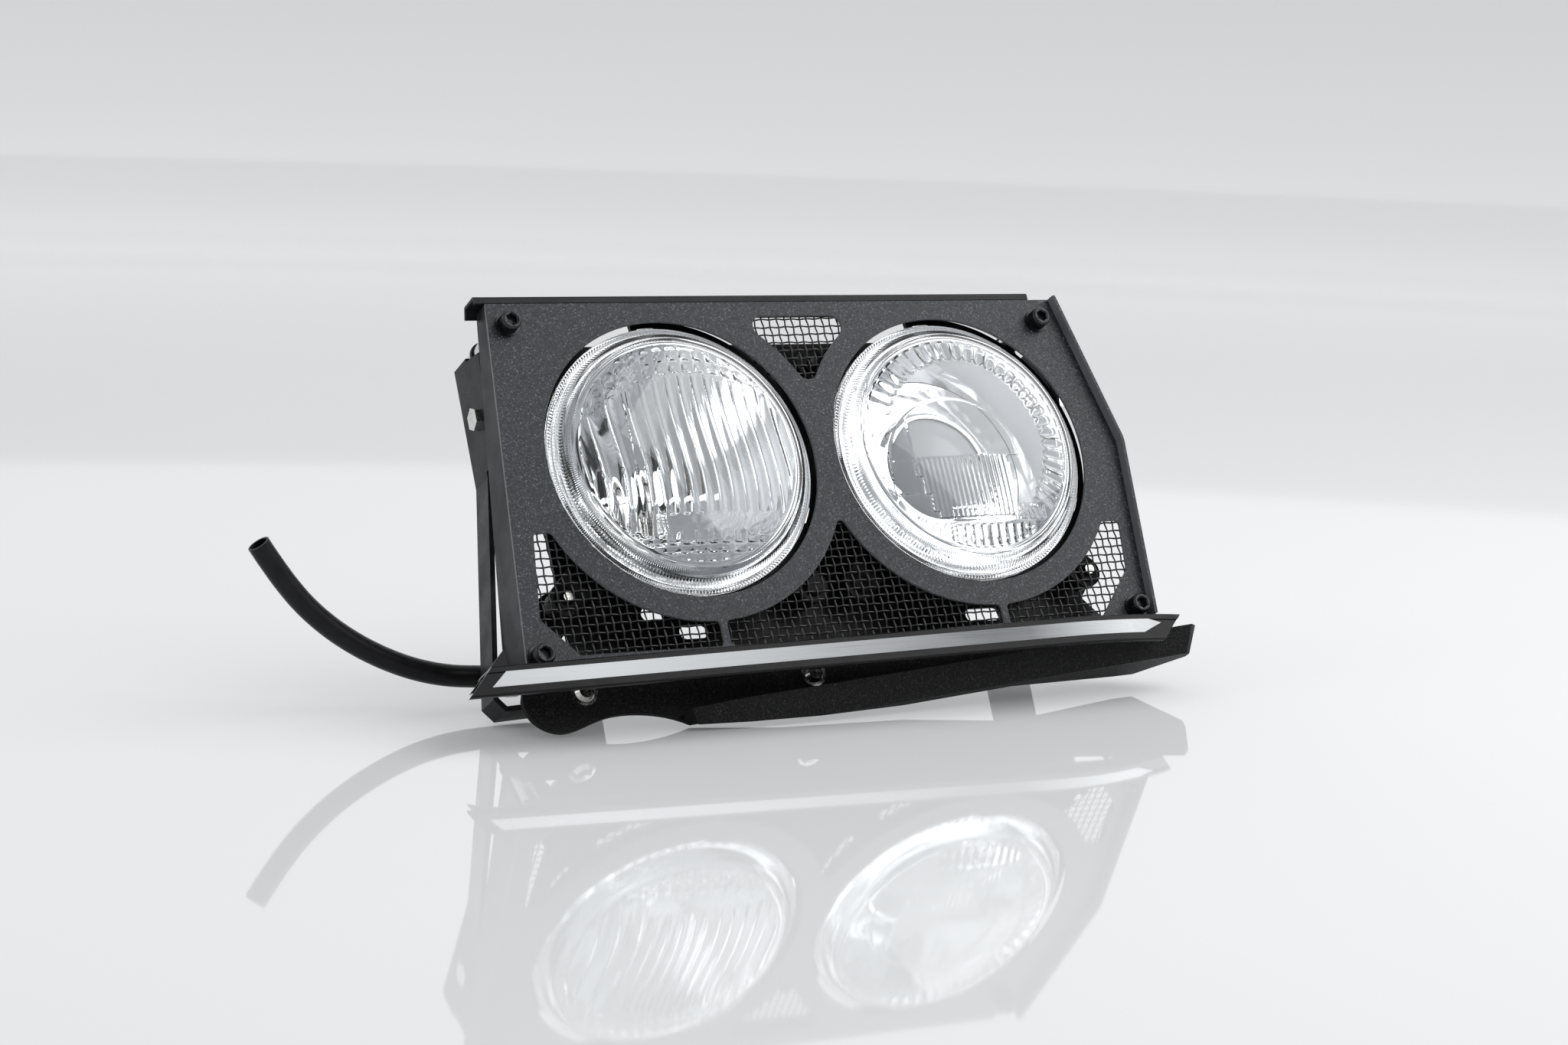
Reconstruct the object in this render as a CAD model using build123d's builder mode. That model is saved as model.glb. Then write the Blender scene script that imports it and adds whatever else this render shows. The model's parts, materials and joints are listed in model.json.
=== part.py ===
from build123d import *
from math import asin, cos, pi, radians, sin, sqrt, tan
import os

# Twin round headlight assembly for a vehicle's front end, lying back on its own feet.
# Millimetres. The row frame has +Z up, -Y to the front and +X to the right as seen from the front.
# Nearly everything is drawn in the panel's own frame: x across, y up the panel, z out of its face.

# ---- driving dimensions -------------------------------------------------------------------------
LEAN = 30.0                     # the panel leans back this far from upright
FACE_X, FACE_Y, FACE_Z = 10.2, -16.78, 119.0    # the panel centre in the row frame

LAMP_X = 76.0                   # lamp centres, left and right of the panel centre
OPENING_R = 70.0                # round opening around each lamp
RING_R = 82.2                   # outer edge of the band of panel left around each opening

PANEL_T = 1.5
PANEL_TOP = 80.0
PANEL_BOTTOM, PANEL_BOTTOM_RIGHT = -104.0, -98.6
PANEL_LEFT_TOP, PANEL_LEFT_BOTTOM = -162.0, -175.0
PANEL_RIGHT_TOP, PANEL_RIGHT_KINK, PANEL_RIGHT_BOTTOM = 149.0, 169.0, 162.2
KINK_Y, KINK_R = 0.6, 15.0
LIP_H, LIP_T = 5.2, 1.6         # raised lip along the panel's right edge

WINDOW_TOP = 72.6               # top edge of the upper mesh window
WINDOW_BOTTOM = -95.0           # lower edge of the lower mesh windows, behind the trim
RIB_X, RIB_W = 76.0, 3.4        # the thin rib below each lamp
RIB_SHIFT = 3.0                 # both ribs stand this far to the right of their lamp

MESH_T = 1.7                    # woven screen, two wires thick
MESH_GAP = 0.1
MESH_MARGIN = 1.4               # how far a screen laps behind the panel

SCREW_PLACES = [(-153.0, 69.0), (137.0, 68.0), (-167.6, -95.0), (154.0, -88.0)]
SCREW_R, SCREW_HEAD_R, SCREW_HEAD_H = 3.0, 5.0, 6.0
WASHER_R, WASHER_T = 6.0, 1.4
SPACER_R = 5.0

WALL_T = 1.5                    # sheet-metal side walls behind the panel
WALL_END = -96.5                # the walls stop above the apron
TAB_R = 11.0                    # corner tabs around the panel screws
WALL_DEPTH_TOP, WALL_DEPTH_BOTTOM, WALL_DEPTH_RIGHT = 12.0, 29.5, 12.5

CARRIER_Z, CARRIER_T = -33.0, 2.0    # front face of the lamp carrier plate
CARRIER_HOLE_R = 56.0
CARRIER_LEFT, CARRIER_RIGHT, CARRIER_TOP, CARRIER_BOTTOM = -138.0, 143.0, 72.0, -84.0
CARRIER_SLOTS = [(-92.0, -66.0, 12.0), (-72.5, -76.0, 15.0), (87.0, -76.0, 20.0)]    # x, y, length
CARRIER_SLOT_W = 7.0

LENS_R, LENS_RING_R = 67.8, 57.6
LENS_BACK, LENS_RING_Z, LENS_APEX = -6.5, 7.0, 14.5
GLASS_T = 3.0
FOCAL = 12.7                    # focal length of the reflector's parabola
VERTEX_Z = -80.0                # and where its vertex would be
REFLECTOR_T = 2.0
NECK_R, NECK_BORE_R, NECK_END = 20.5, 17.0, -84.0

PIVOT_X, ADJUST_X, PIVOT_Y, TILT_Y = 13.0, 142.0, -62.0, 54.0    # aiming points
PIVOT_Z = -25.5
LUG_FRONT, LUG_T = -17.0, 3.0
BEZEL_R = 74.5                  # black flange behind the opening, open at its upper left
AIM_SCREW_R = 2.5

TRIM_TILT = 1.2                 # the finisher climbs to the right
TRIM_Y, TRIM_HALF = -105.2, 6.9
TRIM_FRONT = 16.0
TRIM_T = 1.8
TRIM_BEND_X, TRIM_END_X, TRIM_END_SET = 100.0, 179.0, 12.0
STRIPE_TOP, STRIPE_BOTTOM, STRIPE_T = 3.9, -3.0, 0.8

APRON_TILT = 4.9
APRON_Y = -114.4
APRON_DEPTH, APRON_WALL, APRON_TAPER, APRON_FLOOR_Z = 13.0, 3.5, 24.0, 3.5
FLANGE_BACK, FLANGE_T = -18.0, 3.0
APRON_SCREW_R, APRON_HEAD_R = 2.5, 6.5

STAY_X, STAY_W, STAY_T = 120.0, 24.0, 3.0
STAY_BOLTS = [(x, y) for x in (-STAY_X, STAY_X) for y in (-52.0, -62.0)]
FOOT_START, FOOT_END, FOOT_BORE_Y, FOOT_BORE_R = 1.9, 58.0, 33.0, 4.2

CONDUIT_R, CONDUIT_BORE_R = 5.25, 4.2

# bent flat bars behind the side walls, seen from the front
BAR_T, BAR_BACK, BAR_FRONT, TAB_FRONT_Z = 2.5, -47.0, -31.0, -15.0
BOLT_Y, BOLT_Z = 33.0, -27.0
EAR_T, EAR_W, EAR_DEPTH, EAR_REACH = 2.0, 16.0, 16.0, 24.0
LEFT_BAR = [(-163.2, 66.0), (-163.2, 5.0), (-180.5, -103.5), (-175.5, -109.5), (-158.0, -108.6)]
RIGHT_BAR = [(153.8, 66.0), (153.8, 5.0), (151.0, -16.0)]

BAR_EARS = [(LEFT_BAR[0][0], 1), (RIGHT_BAR[0][0], -1)]

CLEAR = 0.3                     # running clearance between parts that move past each other

os.makedirs("parts", exist_ok=True)

# ---- frames of reference ------------------------------------------------------------------------
FACE = Plane(
    origin=(FACE_X, FACE_Y, FACE_Z),
    x_dir=(1, 0, 0),
    z_dir=(0, -cos(radians(LEAN)), sin(radians(LEAN))),
)


def at(x, y, z=0.0):
    """A point given across, up and out of the panel."""
    return FACE.from_local_coords(Vector(x, y, z))


def front(z, x=0.0, y=0.0):
    """Sketch plane parallel to the panel at depth z."""
    return Plane(origin=at(x, y, z), x_dir=FACE.x_dir, z_dir=FACE.z_dir)


def across(x):
    """Sketch plane square to the panel's width: its axes are y and z of the panel."""
    return Plane(origin=at(x, 0), x_dir=FACE.y_dir, z_dir=FACE.x_dir)


def lengthwise(x, y=0.0):
    """Sketch plane through a lamp's or screw's axis: its axes are x and z of the panel."""
    return Plane(origin=at(x, y), x_dir=FACE.x_dir, z_dir=-FACE.y_dir)


def tilted(y, angle):
    """A frame in the panel's face, turned anticlockwise by an angle, with its origin at height y."""
    along = FACE.x_dir * cos(radians(angle)) + FACE.y_dir * sin(radians(angle))
    return Plane(origin=at(0, y), x_dir=along, z_dir=FACE.z_dir)


def spin_axis(x, y=0.0):
    """The line out of the panel at x, y."""
    return Axis(origin=tuple(at(x, y)), direction=tuple(FACE.z_dir))


def keep(piece, name):
    """Label a finished piece and write it out."""
    piece.part.label = name
    export_step(piece.part, f"parts/{name}.step")


def turned(points, x, y=0.0):
    """A solid of revolution about the line out of the panel at x, y, from (radius, z) points."""
    with BuildPart() as body:
        with BuildSketch(lengthwise(x, y)):
            with BuildLine():
                Polyline(*points, close=True)
            make_face()
        revolve(axis=spin_axis(x, y))
    return body.part


def rod(radius, z_low, z_high, x, y=0.0):
    """A plain round bar along the line out of the panel at x, y."""
    return turned([(0, z_low), (radius, z_low), (radius, z_high), (0, z_high)], x, y)


def tube(outer, inner, z_low, z_high, x, y=0.0):
    """A plain tube along the line out of the panel at x, y."""
    return turned([(inner, z_low), (outer, z_low), (outer, z_high), (inner, z_high)], x, y)


# ---- outlines of the panel and its windows ------------------------------------------------------
PANEL_OUTLINE = [
    (PANEL_LEFT_TOP, PANEL_TOP),
    (PANEL_RIGHT_TOP, PANEL_TOP),
    (PANEL_RIGHT_KINK, KINK_Y),
    (PANEL_RIGHT_BOTTOM, PANEL_BOTTOM_RIGHT),
    (PANEL_LEFT_BOTTOM, PANEL_BOTTOM),
]
RIB_LEFT = -RIB_X + RIB_SHIFT
RIB_RIGHT = RIB_X + RIB_SHIFT
WINDOWS = {
    "upper": ([(-40.0, WINDOW_TOP), (40.0, WINDOW_TOP), (0.0, 20.0)], 5.8),
    "lower_left": (
        [
            (-159.6, -35.0),
            (-140.0, -35.0),
            (RIB_LEFT - RIB_W / 2, -70.0),
            (RIB_LEFT - RIB_W / 2, WINDOW_BOTTOM),
            (-147.6, WINDOW_BOTTOM),
            (-164.2, -77.0),
        ],
        2.6,
    ),
    "lower_centre": (
        [
            (RIB_LEFT + RIB_W / 2, -60.0),
            (0.0, -20.0),
            (RIB_RIGHT - RIB_W / 2, -60.0),
            (RIB_RIGHT - RIB_W / 2, WINDOW_BOTTOM),
            (RIB_LEFT + RIB_W / 2, WINDOW_BOTTOM),
        ],
        2.6,
    ),
    "lower_right": (
        [
            (RIB_RIGHT + RIB_W / 2, -70.0),
            (140.0, -41.6),
            (157.2, -41.6),
            (154.8, -67.6),
            (131.5, WINDOW_BOTTOM),
            (RIB_RIGHT + RIB_W / 2, WINDOW_BOTTOM),
        ],
        2.6,
    ),
}


def window_sketch(name):
    """One mesh window: straight outer sides, and arcs around the lamps on its inner sides."""
    points, corner = WINDOWS[name]
    with BuildSketch() as window:
        with BuildLine():
            Polyline(*points, close=True)
        make_face()
        with Locations((-LAMP_X, 0), (LAMP_X, 0)):
            Circle(RING_R, mode=Mode.SUBTRACT)
        fillet(window.vertices(), corner)
    return window.sketch


# ---- front panel --------------------------------------------------------------------------------
with BuildPart() as front_panel:
    with BuildSketch(front(-PANEL_T)) as panel_face:
        with BuildLine():
            Polyline(*PANEL_OUTLINE, close=True)
        make_face()
        fillet(panel_face.vertices().sort_by(Axis.X)[-1], KINK_R)
        with Locations((-LAMP_X, 0), (LAMP_X, 0)):
            Circle(OPENING_R, mode=Mode.SUBTRACT)
        with Locations(*SCREW_PLACES):
            Circle(SCREW_R + CLEAR, mode=Mode.SUBTRACT)
        for window_name in WINDOWS:
            add(window_sketch(window_name), mode=Mode.SUBTRACT)
    extrude(amount=PANEL_T)
    with BuildSketch(front(0)) as lip_face:
        with BuildLine():
            Polyline(
                (PANEL_RIGHT_TOP, PANEL_TOP),
                (PANEL_RIGHT_KINK, KINK_Y),
                (PANEL_RIGHT_BOTTOM + 0.7, -93.0),
                (PANEL_RIGHT_BOTTOM + 0.7 - LIP_T, -93.0),
                (PANEL_RIGHT_KINK - LIP_T, KINK_Y),
                (PANEL_RIGHT_TOP - LIP_T, PANEL_TOP),
                close=True,
            )
        make_face()
        fillet(lip_face.vertices().sort_by(Axis.X)[-1], KINK_R)
        fillet(lip_face.vertices().filter_by(lambda v: abs(v.Y - KINK_Y) < 1.0), KINK_R - LIP_T)
    extrude(amount=LIP_H)
keep(front_panel, "front_panel")

# ---- woven screens behind the windows -----------------------------------------------------------
for window_name in WINDOWS:
    with BuildPart() as mesh_screen:
        with BuildSketch(front(-PANEL_T - MESH_GAP - MESH_T)):
            with BuildLine():
                Polyline(*WINDOWS[window_name][0], close=True)
            make_face()
            offset(amount=MESH_MARGIN, kind=Kind.INTERSECTION)
            with Locations((-LAMP_X, 0), (LAMP_X, 0)):
                Circle(RING_R - MESH_MARGIN, mode=Mode.SUBTRACT)
        extrude(amount=MESH_T)
    keep(mesh_screen, f"mesh_{window_name}")

# ---- side walls, with corner tabs that the panel screws pass through ------------------------------
WALL_SLOPE = (WALL_DEPTH_BOTTOM - WALL_DEPTH_TOP) / (PANEL_TOP - PANEL_BOTTOM)
TAB_FRONT = -PANEL_T - MESH_GAP
with BuildPart() as side_walls:
    with BuildSketch(front(TAB_FRONT - WALL_DEPTH_BOTTOM)) as wall_ring:
        with BuildLine():
            Polyline(*PANEL_OUTLINE, close=True)
        make_face()
        fillet(wall_ring.vertices().sort_by(Axis.X)[-1], KINK_R)
        offset(amount=-WALL_T, mode=Mode.SUBTRACT)
        with Locations((0, WALL_END)):
            Rectangle(4 * PANEL_RIGHT_KINK, -2 * WALL_END, align=(Align.CENTER, Align.MAX), mode=Mode.SUBTRACT)
    extrude(amount=WALL_DEPTH_BOTTOM)
    with BuildSketch(across(-2 * PANEL_RIGHT_KINK)):
        with BuildLine():
            Polyline(
                (PANEL_TOP + 1, -WALL_DEPTH_TOP),
                (PANEL_BOTTOM - 1, -WALL_DEPTH_BOTTOM),
                (PANEL_BOTTOM - 1, -2 * WALL_DEPTH_BOTTOM),
                (PANEL_TOP + 1, -2 * WALL_DEPTH_BOTTOM),
                close=True,
            )
        make_face()
    extrude(amount=4 * PANEL_RIGHT_KINK, mode=Mode.SUBTRACT)
    with BuildSketch(front(-WALL_DEPTH_RIGHT)):
        with Locations((2 * PANEL_RIGHT_TOP, 0)):
            Rectangle(3 * PANEL_RIGHT_TOP, 3 * PANEL_TOP)
    extrude(amount=-2 * WALL_DEPTH_BOTTOM, mode=Mode.SUBTRACT)
    with BuildSketch(front(TAB_FRONT - WALL_T)):
        with BuildLine():
            Polyline(*PANEL_OUTLINE, close=True)
        make_face()
        with Locations(*SCREW_PLACES):
            Circle(TAB_R, mode=Mode.INTERSECT)
        with Locations(*SCREW_PLACES):
            Circle(SCREW_R + CLEAR, mode=Mode.SUBTRACT)
    extrude(amount=WALL_T)
keep(side_walls, "side_walls")

# ---- rail along the top, hooked back and down ------------------------------------------------------
RAIL_LEFT, RAIL_RIGHT = -167.0, 136.0
with BuildPart() as top_rail:
    with BuildSketch(across(RAIL_LEFT)) as rail_profile:
        with BuildLine():
            Polyline(
                (PANEL_TOP + 0.5, -0.4),
                (PANEL_TOP + 4.2, -0.4),
                (PANEL_TOP + 4.2, -13.0),
                (PANEL_TOP - 1.5, -15.5),
                (PANEL_TOP - 2.1, -14.2),
                (PANEL_TOP + 2.7, -12.0),
                (PANEL_TOP + 2.7, -1.9),
                (PANEL_TOP + 0.5, -1.9),
                close=True,
            )
        make_face()
        fillet(rail_profile.vertices().sort_by(Axis.X)[-2:], 1.4)
    extrude(amount=RAIL_RIGHT - RAIL_LEFT)
keep(top_rail, "top_rail")

# ---- carrier plate behind the lamps ----------------------------------------------------------------
with BuildPart() as carrier_plate:
    with BuildSketch(front(CARRIER_Z - CARRIER_T)):
        with Locations(((CARRIER_LEFT + CARRIER_RIGHT) / 2, (CARRIER_TOP + CARRIER_BOTTOM) / 2)):
            RectangleRounded(CARRIER_RIGHT - CARRIER_LEFT, CARRIER_TOP - CARRIER_BOTTOM, 8)
        for screw_x, screw_y in SCREW_PLACES:
            hub_x = LAMP_X if screw_x > 0 else -LAMP_X
            with BuildLine():
                arm = Line((hub_x, 0), (screw_x, screw_y))
            with Locations(arm @ 0.5):
                SlotCenterToCenter(arm.length, 2.4 * SPACER_R, rotation=arm.tangent_angle_at(0))
        for side in (-1, 1):
            with Locations((side * ADJUST_X, PIVOT_Y)):
                Circle(9)
        for bar_x, inward in BAR_EARS:
            with Locations((bar_x + inward * BAR_T, BOLT_Y)):
                Rectangle(EAR_REACH, EAR_W, align=(Align.MIN if inward > 0 else Align.MAX, Align.CENTER))
        with Locations((-LAMP_X, 0), (LAMP_X, 0)):
            Circle(CARRIER_HOLE_R, mode=Mode.SUBTRACT)
        with Locations(*SCREW_PLACES):
            Circle(SCREW_R + CLEAR, mode=Mode.SUBTRACT)
        for side in (-1, 1):
            with Locations((side * PIVOT_X, TILT_Y), (side * ADJUST_X, PIVOT_Y)):
                Circle(AIM_SCREW_R + CLEAR, mode=Mode.SUBTRACT)
            with Locations((side * PIVOT_X, PIVOT_Y)):
                Circle(AIM_SCREW_R, mode=Mode.SUBTRACT)
        with Locations(*STAY_BOLTS):
            Circle(2.5, mode=Mode.SUBTRACT)
        for slot_x, slot_y, slot_length in CARRIER_SLOTS:
            with Locations((slot_x, slot_y)):
                SlotOverall(slot_length, CARRIER_SLOT_W, mode=Mode.SUBTRACT)
    extrude(amount=CARRIER_T)
    for bar_x, inward in BAR_EARS:
        with BuildSketch(across(bar_x + inward * BAR_T)):
            with Locations((BOLT_Y, CARRIER_Z - CARRIER_T)):
                Rectangle(EAR_W, EAR_DEPTH, align=(Align.CENTER, Align.MIN))
            with Locations((BOLT_Y, BOLT_Z)):
                Circle(SCREW_R + CLEAR, mode=Mode.SUBTRACT)
        extrude(amount=inward * EAR_T)
keep(carrier_plate, "carrier_plate")

# ---- panel fasteners -------------------------------------------------------------------------------
SPACER_FRONT = TAB_FRONT - WALL_T
NUT_BACK = CARRIER_Z - CARRIER_T - 5.0
with BuildPart() as panel_screws:
    for x, y in SCREW_PLACES:
        add(rod(SCREW_R, NUT_BACK - 2.0, WASHER_T, x, y))
        with BuildSketch(front(WASHER_T, x, y)):
            Circle(SCREW_HEAD_R)
        extrude(amount=SCREW_HEAD_H)
        with BuildSketch(front(WASHER_T + SCREW_HEAD_H, x, y)):
            RegularPolygon(2.9, 6)
        extrude(amount=-3.5, mode=Mode.SUBTRACT)
keep(panel_screws, "panel_screws")

with BuildPart() as panel_washers:
    for x, y in SCREW_PLACES:
        add(tube(WASHER_R, SCREW_R + 0.2, 0, WASHER_T, x, y))
keep(panel_washers, "panel_washers")

with BuildPart() as panel_spacers:
    for x, y in SCREW_PLACES:
        add(tube(SPACER_R, SCREW_R + CLEAR, CARRIER_Z, SPACER_FRONT, x, y))
keep(panel_spacers, "panel_spacers")

with BuildPart() as panel_nuts:
    for x, y in SCREW_PLACES:
        with BuildSketch(front(NUT_BACK, x, y)):
            RegularPolygon(5.8, 6)
            Circle(SCREW_R + 0.1, mode=Mode.SUBTRACT)
        extrude(amount=5.0)
keep(panel_nuts, "panel_nuts")


# ---- the two lamps ---------------------------------------------------------------------------------
def cap_height(radius, edge_radius, edge_z, apex_z):
    """Height of a spherical cap at a radius, from its edge and its apex."""
    rise = apex_z - edge_z
    sphere = (edge_radius**2 + rise**2) / (2 * rise)
    return apex_z - sphere + sqrt(sphere**2 - radius**2)


def dome(radius):
    """Height of the lamp glass's domed front at a radius."""
    return cap_height(radius, LENS_RING_R, LENS_RING_Z, LENS_APEX)


def bowl(z):
    """Inside radius of the parabolic reflector at a depth."""
    return sqrt(4 * FOCAL * (z - VERTEX_Z))


MOUTH_Z = -9.5
NECK_Z = -72.5
BOWL_STEPS = 6
bowl_depths = [MOUTH_Z + (NECK_Z - MOUTH_Z) * step / BOWL_STEPS for step in range(BOWL_STEPS + 1)]
CAP_R, CAP_FRONT, CAP_BACK, CAP_WALL = 30.0, -76.0, -104.0, 2.0
GRIP_COUNT = 12

for side, lamp_x, pivot_x, adjust_x in (
    ("left", -LAMP_X, -PIVOT_X, -ADJUST_X),
    ("right", LAMP_X, PIVOT_X, ADJUST_X),
):
    with BuildPart() as lens:
        with BuildSketch(lengthwise(lamp_x)):
            with BuildLine():
                Polyline(
                    (LENS_R - 5.0, LENS_BACK),
                    (LENS_R, LENS_BACK),
                    (LENS_R, LENS_BACK + 3.0),
                    (LENS_R - 1.4, LENS_BACK + 3.9),
                    (LENS_RING_R + 1.0, LENS_RING_Z - 0.8),
                    (LENS_RING_R, LENS_RING_Z),
                )
                ThreePointArc((LENS_RING_R, LENS_RING_Z), (29, dome(29)), (0, LENS_APEX))
                Line((0, LENS_APEX), (0, LENS_APEX - GLASS_T))
                ThreePointArc((0, LENS_APEX - GLASS_T), (29, dome(29) - GLASS_T), (55, dome(55) - GLASS_T))
                Line((55, dome(55) - GLASS_T), (LENS_R - 5.0, LENS_BACK))
            make_face()
        revolve(axis=spin_axis(lamp_x))
    keep(lens, f"{side}_lens")

    with BuildPart() as reflector:
        with BuildSketch(lengthwise(lamp_x)):
            with BuildLine():
                Spline(*[(bowl(z), z) for z in bowl_depths])
                Polyline(
                    (bowl(NECK_Z), NECK_Z),
                    (NECK_BORE_R, NECK_Z),
                    (NECK_BORE_R, NECK_END),
                    (NECK_R, NECK_END),
                    (NECK_R, NECK_Z - REFLECTOR_T),
                    (bowl(NECK_Z) + REFLECTOR_T, NECK_Z - REFLECTOR_T),
                )
                Spline(*[(bowl(z) + REFLECTOR_T, z - REFLECTOR_T) for z in reversed(bowl_depths)])
                Polyline(
                    (bowl(MOUTH_Z) + REFLECTOR_T, MOUTH_Z - REFLECTOR_T),
                    (bowl(MOUTH_Z) + REFLECTOR_T, MOUTH_Z),
                    (LENS_R - 0.6, MOUTH_Z),
                    (LENS_R - 0.6, LENS_BACK),
                    (bowl(MOUTH_Z), LENS_BACK),
                    (bowl(MOUTH_Z), MOUTH_Z),
                )
            make_face()
        revolve(axis=spin_axis(lamp_x))
    keep(reflector, f"{side}_reflector")

    lugs = [(pivot_x, PIVOT_Y), (pivot_x, TILT_Y), (adjust_x, PIVOT_Y)]
    with BuildPart() as aim_ring:
        add(
            turned(
                [
                    (62.6, MOUTH_Z - 2.5),
                    (64.5, MOUTH_Z - 2.5),
                    (64.5, LUG_FRONT - LUG_T),
                    (67.5, LUG_FRONT - LUG_T),
                    (67.5, MOUTH_Z - 2.5),
                    (BEZEL_R, MOUTH_Z - 2.5),
                    (BEZEL_R, MOUTH_Z),
                    (62.6, MOUTH_Z),
                ],
                lamp_x,
            )
        )
        with BuildSketch(front(MOUTH_Z - 3.0)) as bezel_gap:
            with BuildLine():
                Polyline(
                    (lamp_x, 0),
                    (lamp_x - 13, 100),
                    (lamp_x - 90, 90),
                    (lamp_x - 90, 52),
                    close=True,
                )
            make_face()
            with Locations((lamp_x, 0)):
                Circle(67.5, mode=Mode.SUBTRACT)
        extrude(amount=4.0, mode=Mode.SUBTRACT)
        with BuildSketch(front(LUG_FRONT - LUG_T)):
            for lug_x, lug_y in lugs:
                with BuildLine():
                    reach = Line((lamp_x, 0), (lug_x, lug_y))
                with Locations(reach @ 0.5):
                    SlotCenterToCenter(reach.length, 16, rotation=reach.tangent_angle_at(0))
            with Locations((lamp_x, 0)):
                Circle(66.0, mode=Mode.SUBTRACT)
            with Locations(lugs[0]):
                Circle(4.2, mode=Mode.SUBTRACT)
            with Locations(*lugs[1:]):
                Circle(5.0, mode=Mode.SUBTRACT)
        extrude(amount=LUG_T)
    keep(aim_ring, f"{side}_aim_ring")

    with BuildPart() as ring_clips:
        for angle in (90, 210, 330):
            with BuildSketch(lengthwise(lamp_x)) as clip_profile:
                with BuildLine():
                    Polyline(
                        (LENS_R + 0.1, LENS_BACK + 2.0),
                        (LENS_R + 0.9, LENS_BACK + 2.0),
                        (LENS_R + 0.9, MOUTH_Z + 0.1),
                        (LENS_R + 0.1, MOUTH_Z + 0.1),
                        close=True,
                    )
                make_face()
            revolve(clip_profile.sketch.rotate(spin_axis(lamp_x), angle), spin_axis(lamp_x), 7)
    keep(ring_clips, f"{side}_ring_clips")

    with BuildPart() as pivot_block:
        add(
            turned(
                [
                    (0, -30.5),
                    (7.0, -30.5),
                    (7.0, LUG_FRONT - LUG_T - 0.7),
                    (3.5, LUG_FRONT - LUG_T - 0.7),
                    (3.5, LUG_FRONT + 0.7),
                    (5.2, LUG_FRONT + 0.7),
                    (4.2, LUG_FRONT + 2.6),
                    (0, LUG_FRONT + 2.6),
                ],
                pivot_x,
                PIVOT_Y,
            )
        )
        add(rod(3.7, -31.0, PIVOT_Z, pivot_x, PIVOT_Y), mode=Mode.SUBTRACT)
        with Locations(at(pivot_x, PIVOT_Y, PIVOT_Z)):
            Sphere(4.3, mode=Mode.SUBTRACT)
    keep(pivot_block, f"{side}_pivot_block")

    with BuildPart() as pivot_stud:
        add(rod(2.4, CARRIER_Z - 6.0, PIVOT_Z, pivot_x, PIVOT_Y))
        with Locations(at(pivot_x, PIVOT_Y, PIVOT_Z)):
            Sphere(4.0)
        with BuildSketch(front(CARRIER_Z - CARRIER_T - 4.0, pivot_x, PIVOT_Y)):
            RegularPolygon(4.6, 6)
        extrude(amount=4.0)
    keep(pivot_stud, f"{side}_pivot_stud")

    with BuildPart() as aim_nuts:
        for nut_x, nut_y in lugs[1:]:
            bore = AIM_SCREW_R + 0.7
            add(
                turned(
                    [
                        (bore, -27.5),
                        (7.0, -27.5),
                        (7.0, LUG_FRONT - LUG_T),
                        (4.9, LUG_FRONT - LUG_T),
                        (4.9, LUG_FRONT),
                        (6.0, LUG_FRONT),
                        (5.0, LUG_FRONT + 1.4),
                        (bore, LUG_FRONT + 1.4),
                    ],
                    nut_x,
                    nut_y,
                )
            )
    keep(aim_nuts, f"{side}_aim_nuts")

    for aim, (screw_x, screw_y) in (("tilt", lugs[1]), ("swivel", lugs[2])):
        with BuildPart() as aim_screw:
            add(rod(AIM_SCREW_R, CARRIER_Z - CARRIER_T - 8.0, -13.0, screw_x, screw_y))
            with BuildSketch(front(CARRIER_Z - CARRIER_T - CLEAR - 12.0, screw_x, screw_y)):
                Circle(6.0)
                with PolarLocations(6.4, 8):
                    Circle(1.0, mode=Mode.SUBTRACT)
            extrude(amount=12.0)
            with BuildSketch(front(CARRIER_Z - CARRIER_T - CLEAR - 12.0, screw_x, screw_y)):
                Rectangle(8.0, 1.2)
                Rectangle(1.2, 8.0)
            extrude(amount=2.0, mode=Mode.SUBTRACT)
        keep(aim_screw, f"{side}_{aim}_screw")

    with BuildPart() as rear_cap:
        add(
            turned(
                [
                    (0, CAP_BACK),
                    (CAP_R, CAP_BACK),
                    (CAP_R, CAP_FRONT),
                    (NECK_R + 0.4, CAP_FRONT),
                    (NECK_R + 0.4, CAP_FRONT - CAP_WALL),
                    (CAP_R - CAP_WALL, CAP_FRONT - CAP_WALL),
                    (CAP_R - CAP_WALL, CAP_BACK + CAP_WALL),
                    (0, CAP_BACK + CAP_WALL),
                ],
                lamp_x,
            )
        )
        with BuildSketch(front(CAP_BACK + 2.0, lamp_x)):
            with PolarLocations(CAP_R, GRIP_COUNT):
                Circle(2.0)
            Circle(CAP_R - CAP_WALL, mode=Mode.SUBTRACT)
        extrude(amount=18.0)
    keep(rear_cap, f"{side}_rear_cap")

    with BuildPart() as bulb:
        add(
            turned(
                [(0, -76.0), (5.0, -76.0), (6.0, -72.0), (6.0, -56.0), (4.4, -52.5), (0, -51.0)],
                lamp_x,
            )
        )
    keep(bulb, f"{side}_bulb")

    with BuildPart() as bulb_base:
        add(
            turned(
                [
                    (0, -88.0),
                    (9.0, -88.0),
                    (9.0, -86.0),
                    (16.5, -86.0),
                    (16.5, NECK_END),
                    (11.0, NECK_END),
                    (11.0, -76.0),
                    (0, -76.0),
                ],
                lamp_x,
            )
        )
        with BuildSketch(front(-97.0, lamp_x)):
            with PolarLocations(5.0, 3):
                Rectangle(1.0, 6.0)
        extrude(amount=9.5)
    keep(bulb_base, f"{side}_bulb_base")

    with BuildPart() as bulb_clip:
        add(tube(18.5, 17.1, -87.6, -86.2, lamp_x))
        with BuildSketch(front(-87.6, lamp_x)):
            with Locations((-17.5, 0), (17.5, 0)):
                Rectangle(6.0, 1.4)
        extrude(amount=1.4)
    keep(bulb_clip, f"{side}_bulb_clip")

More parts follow.
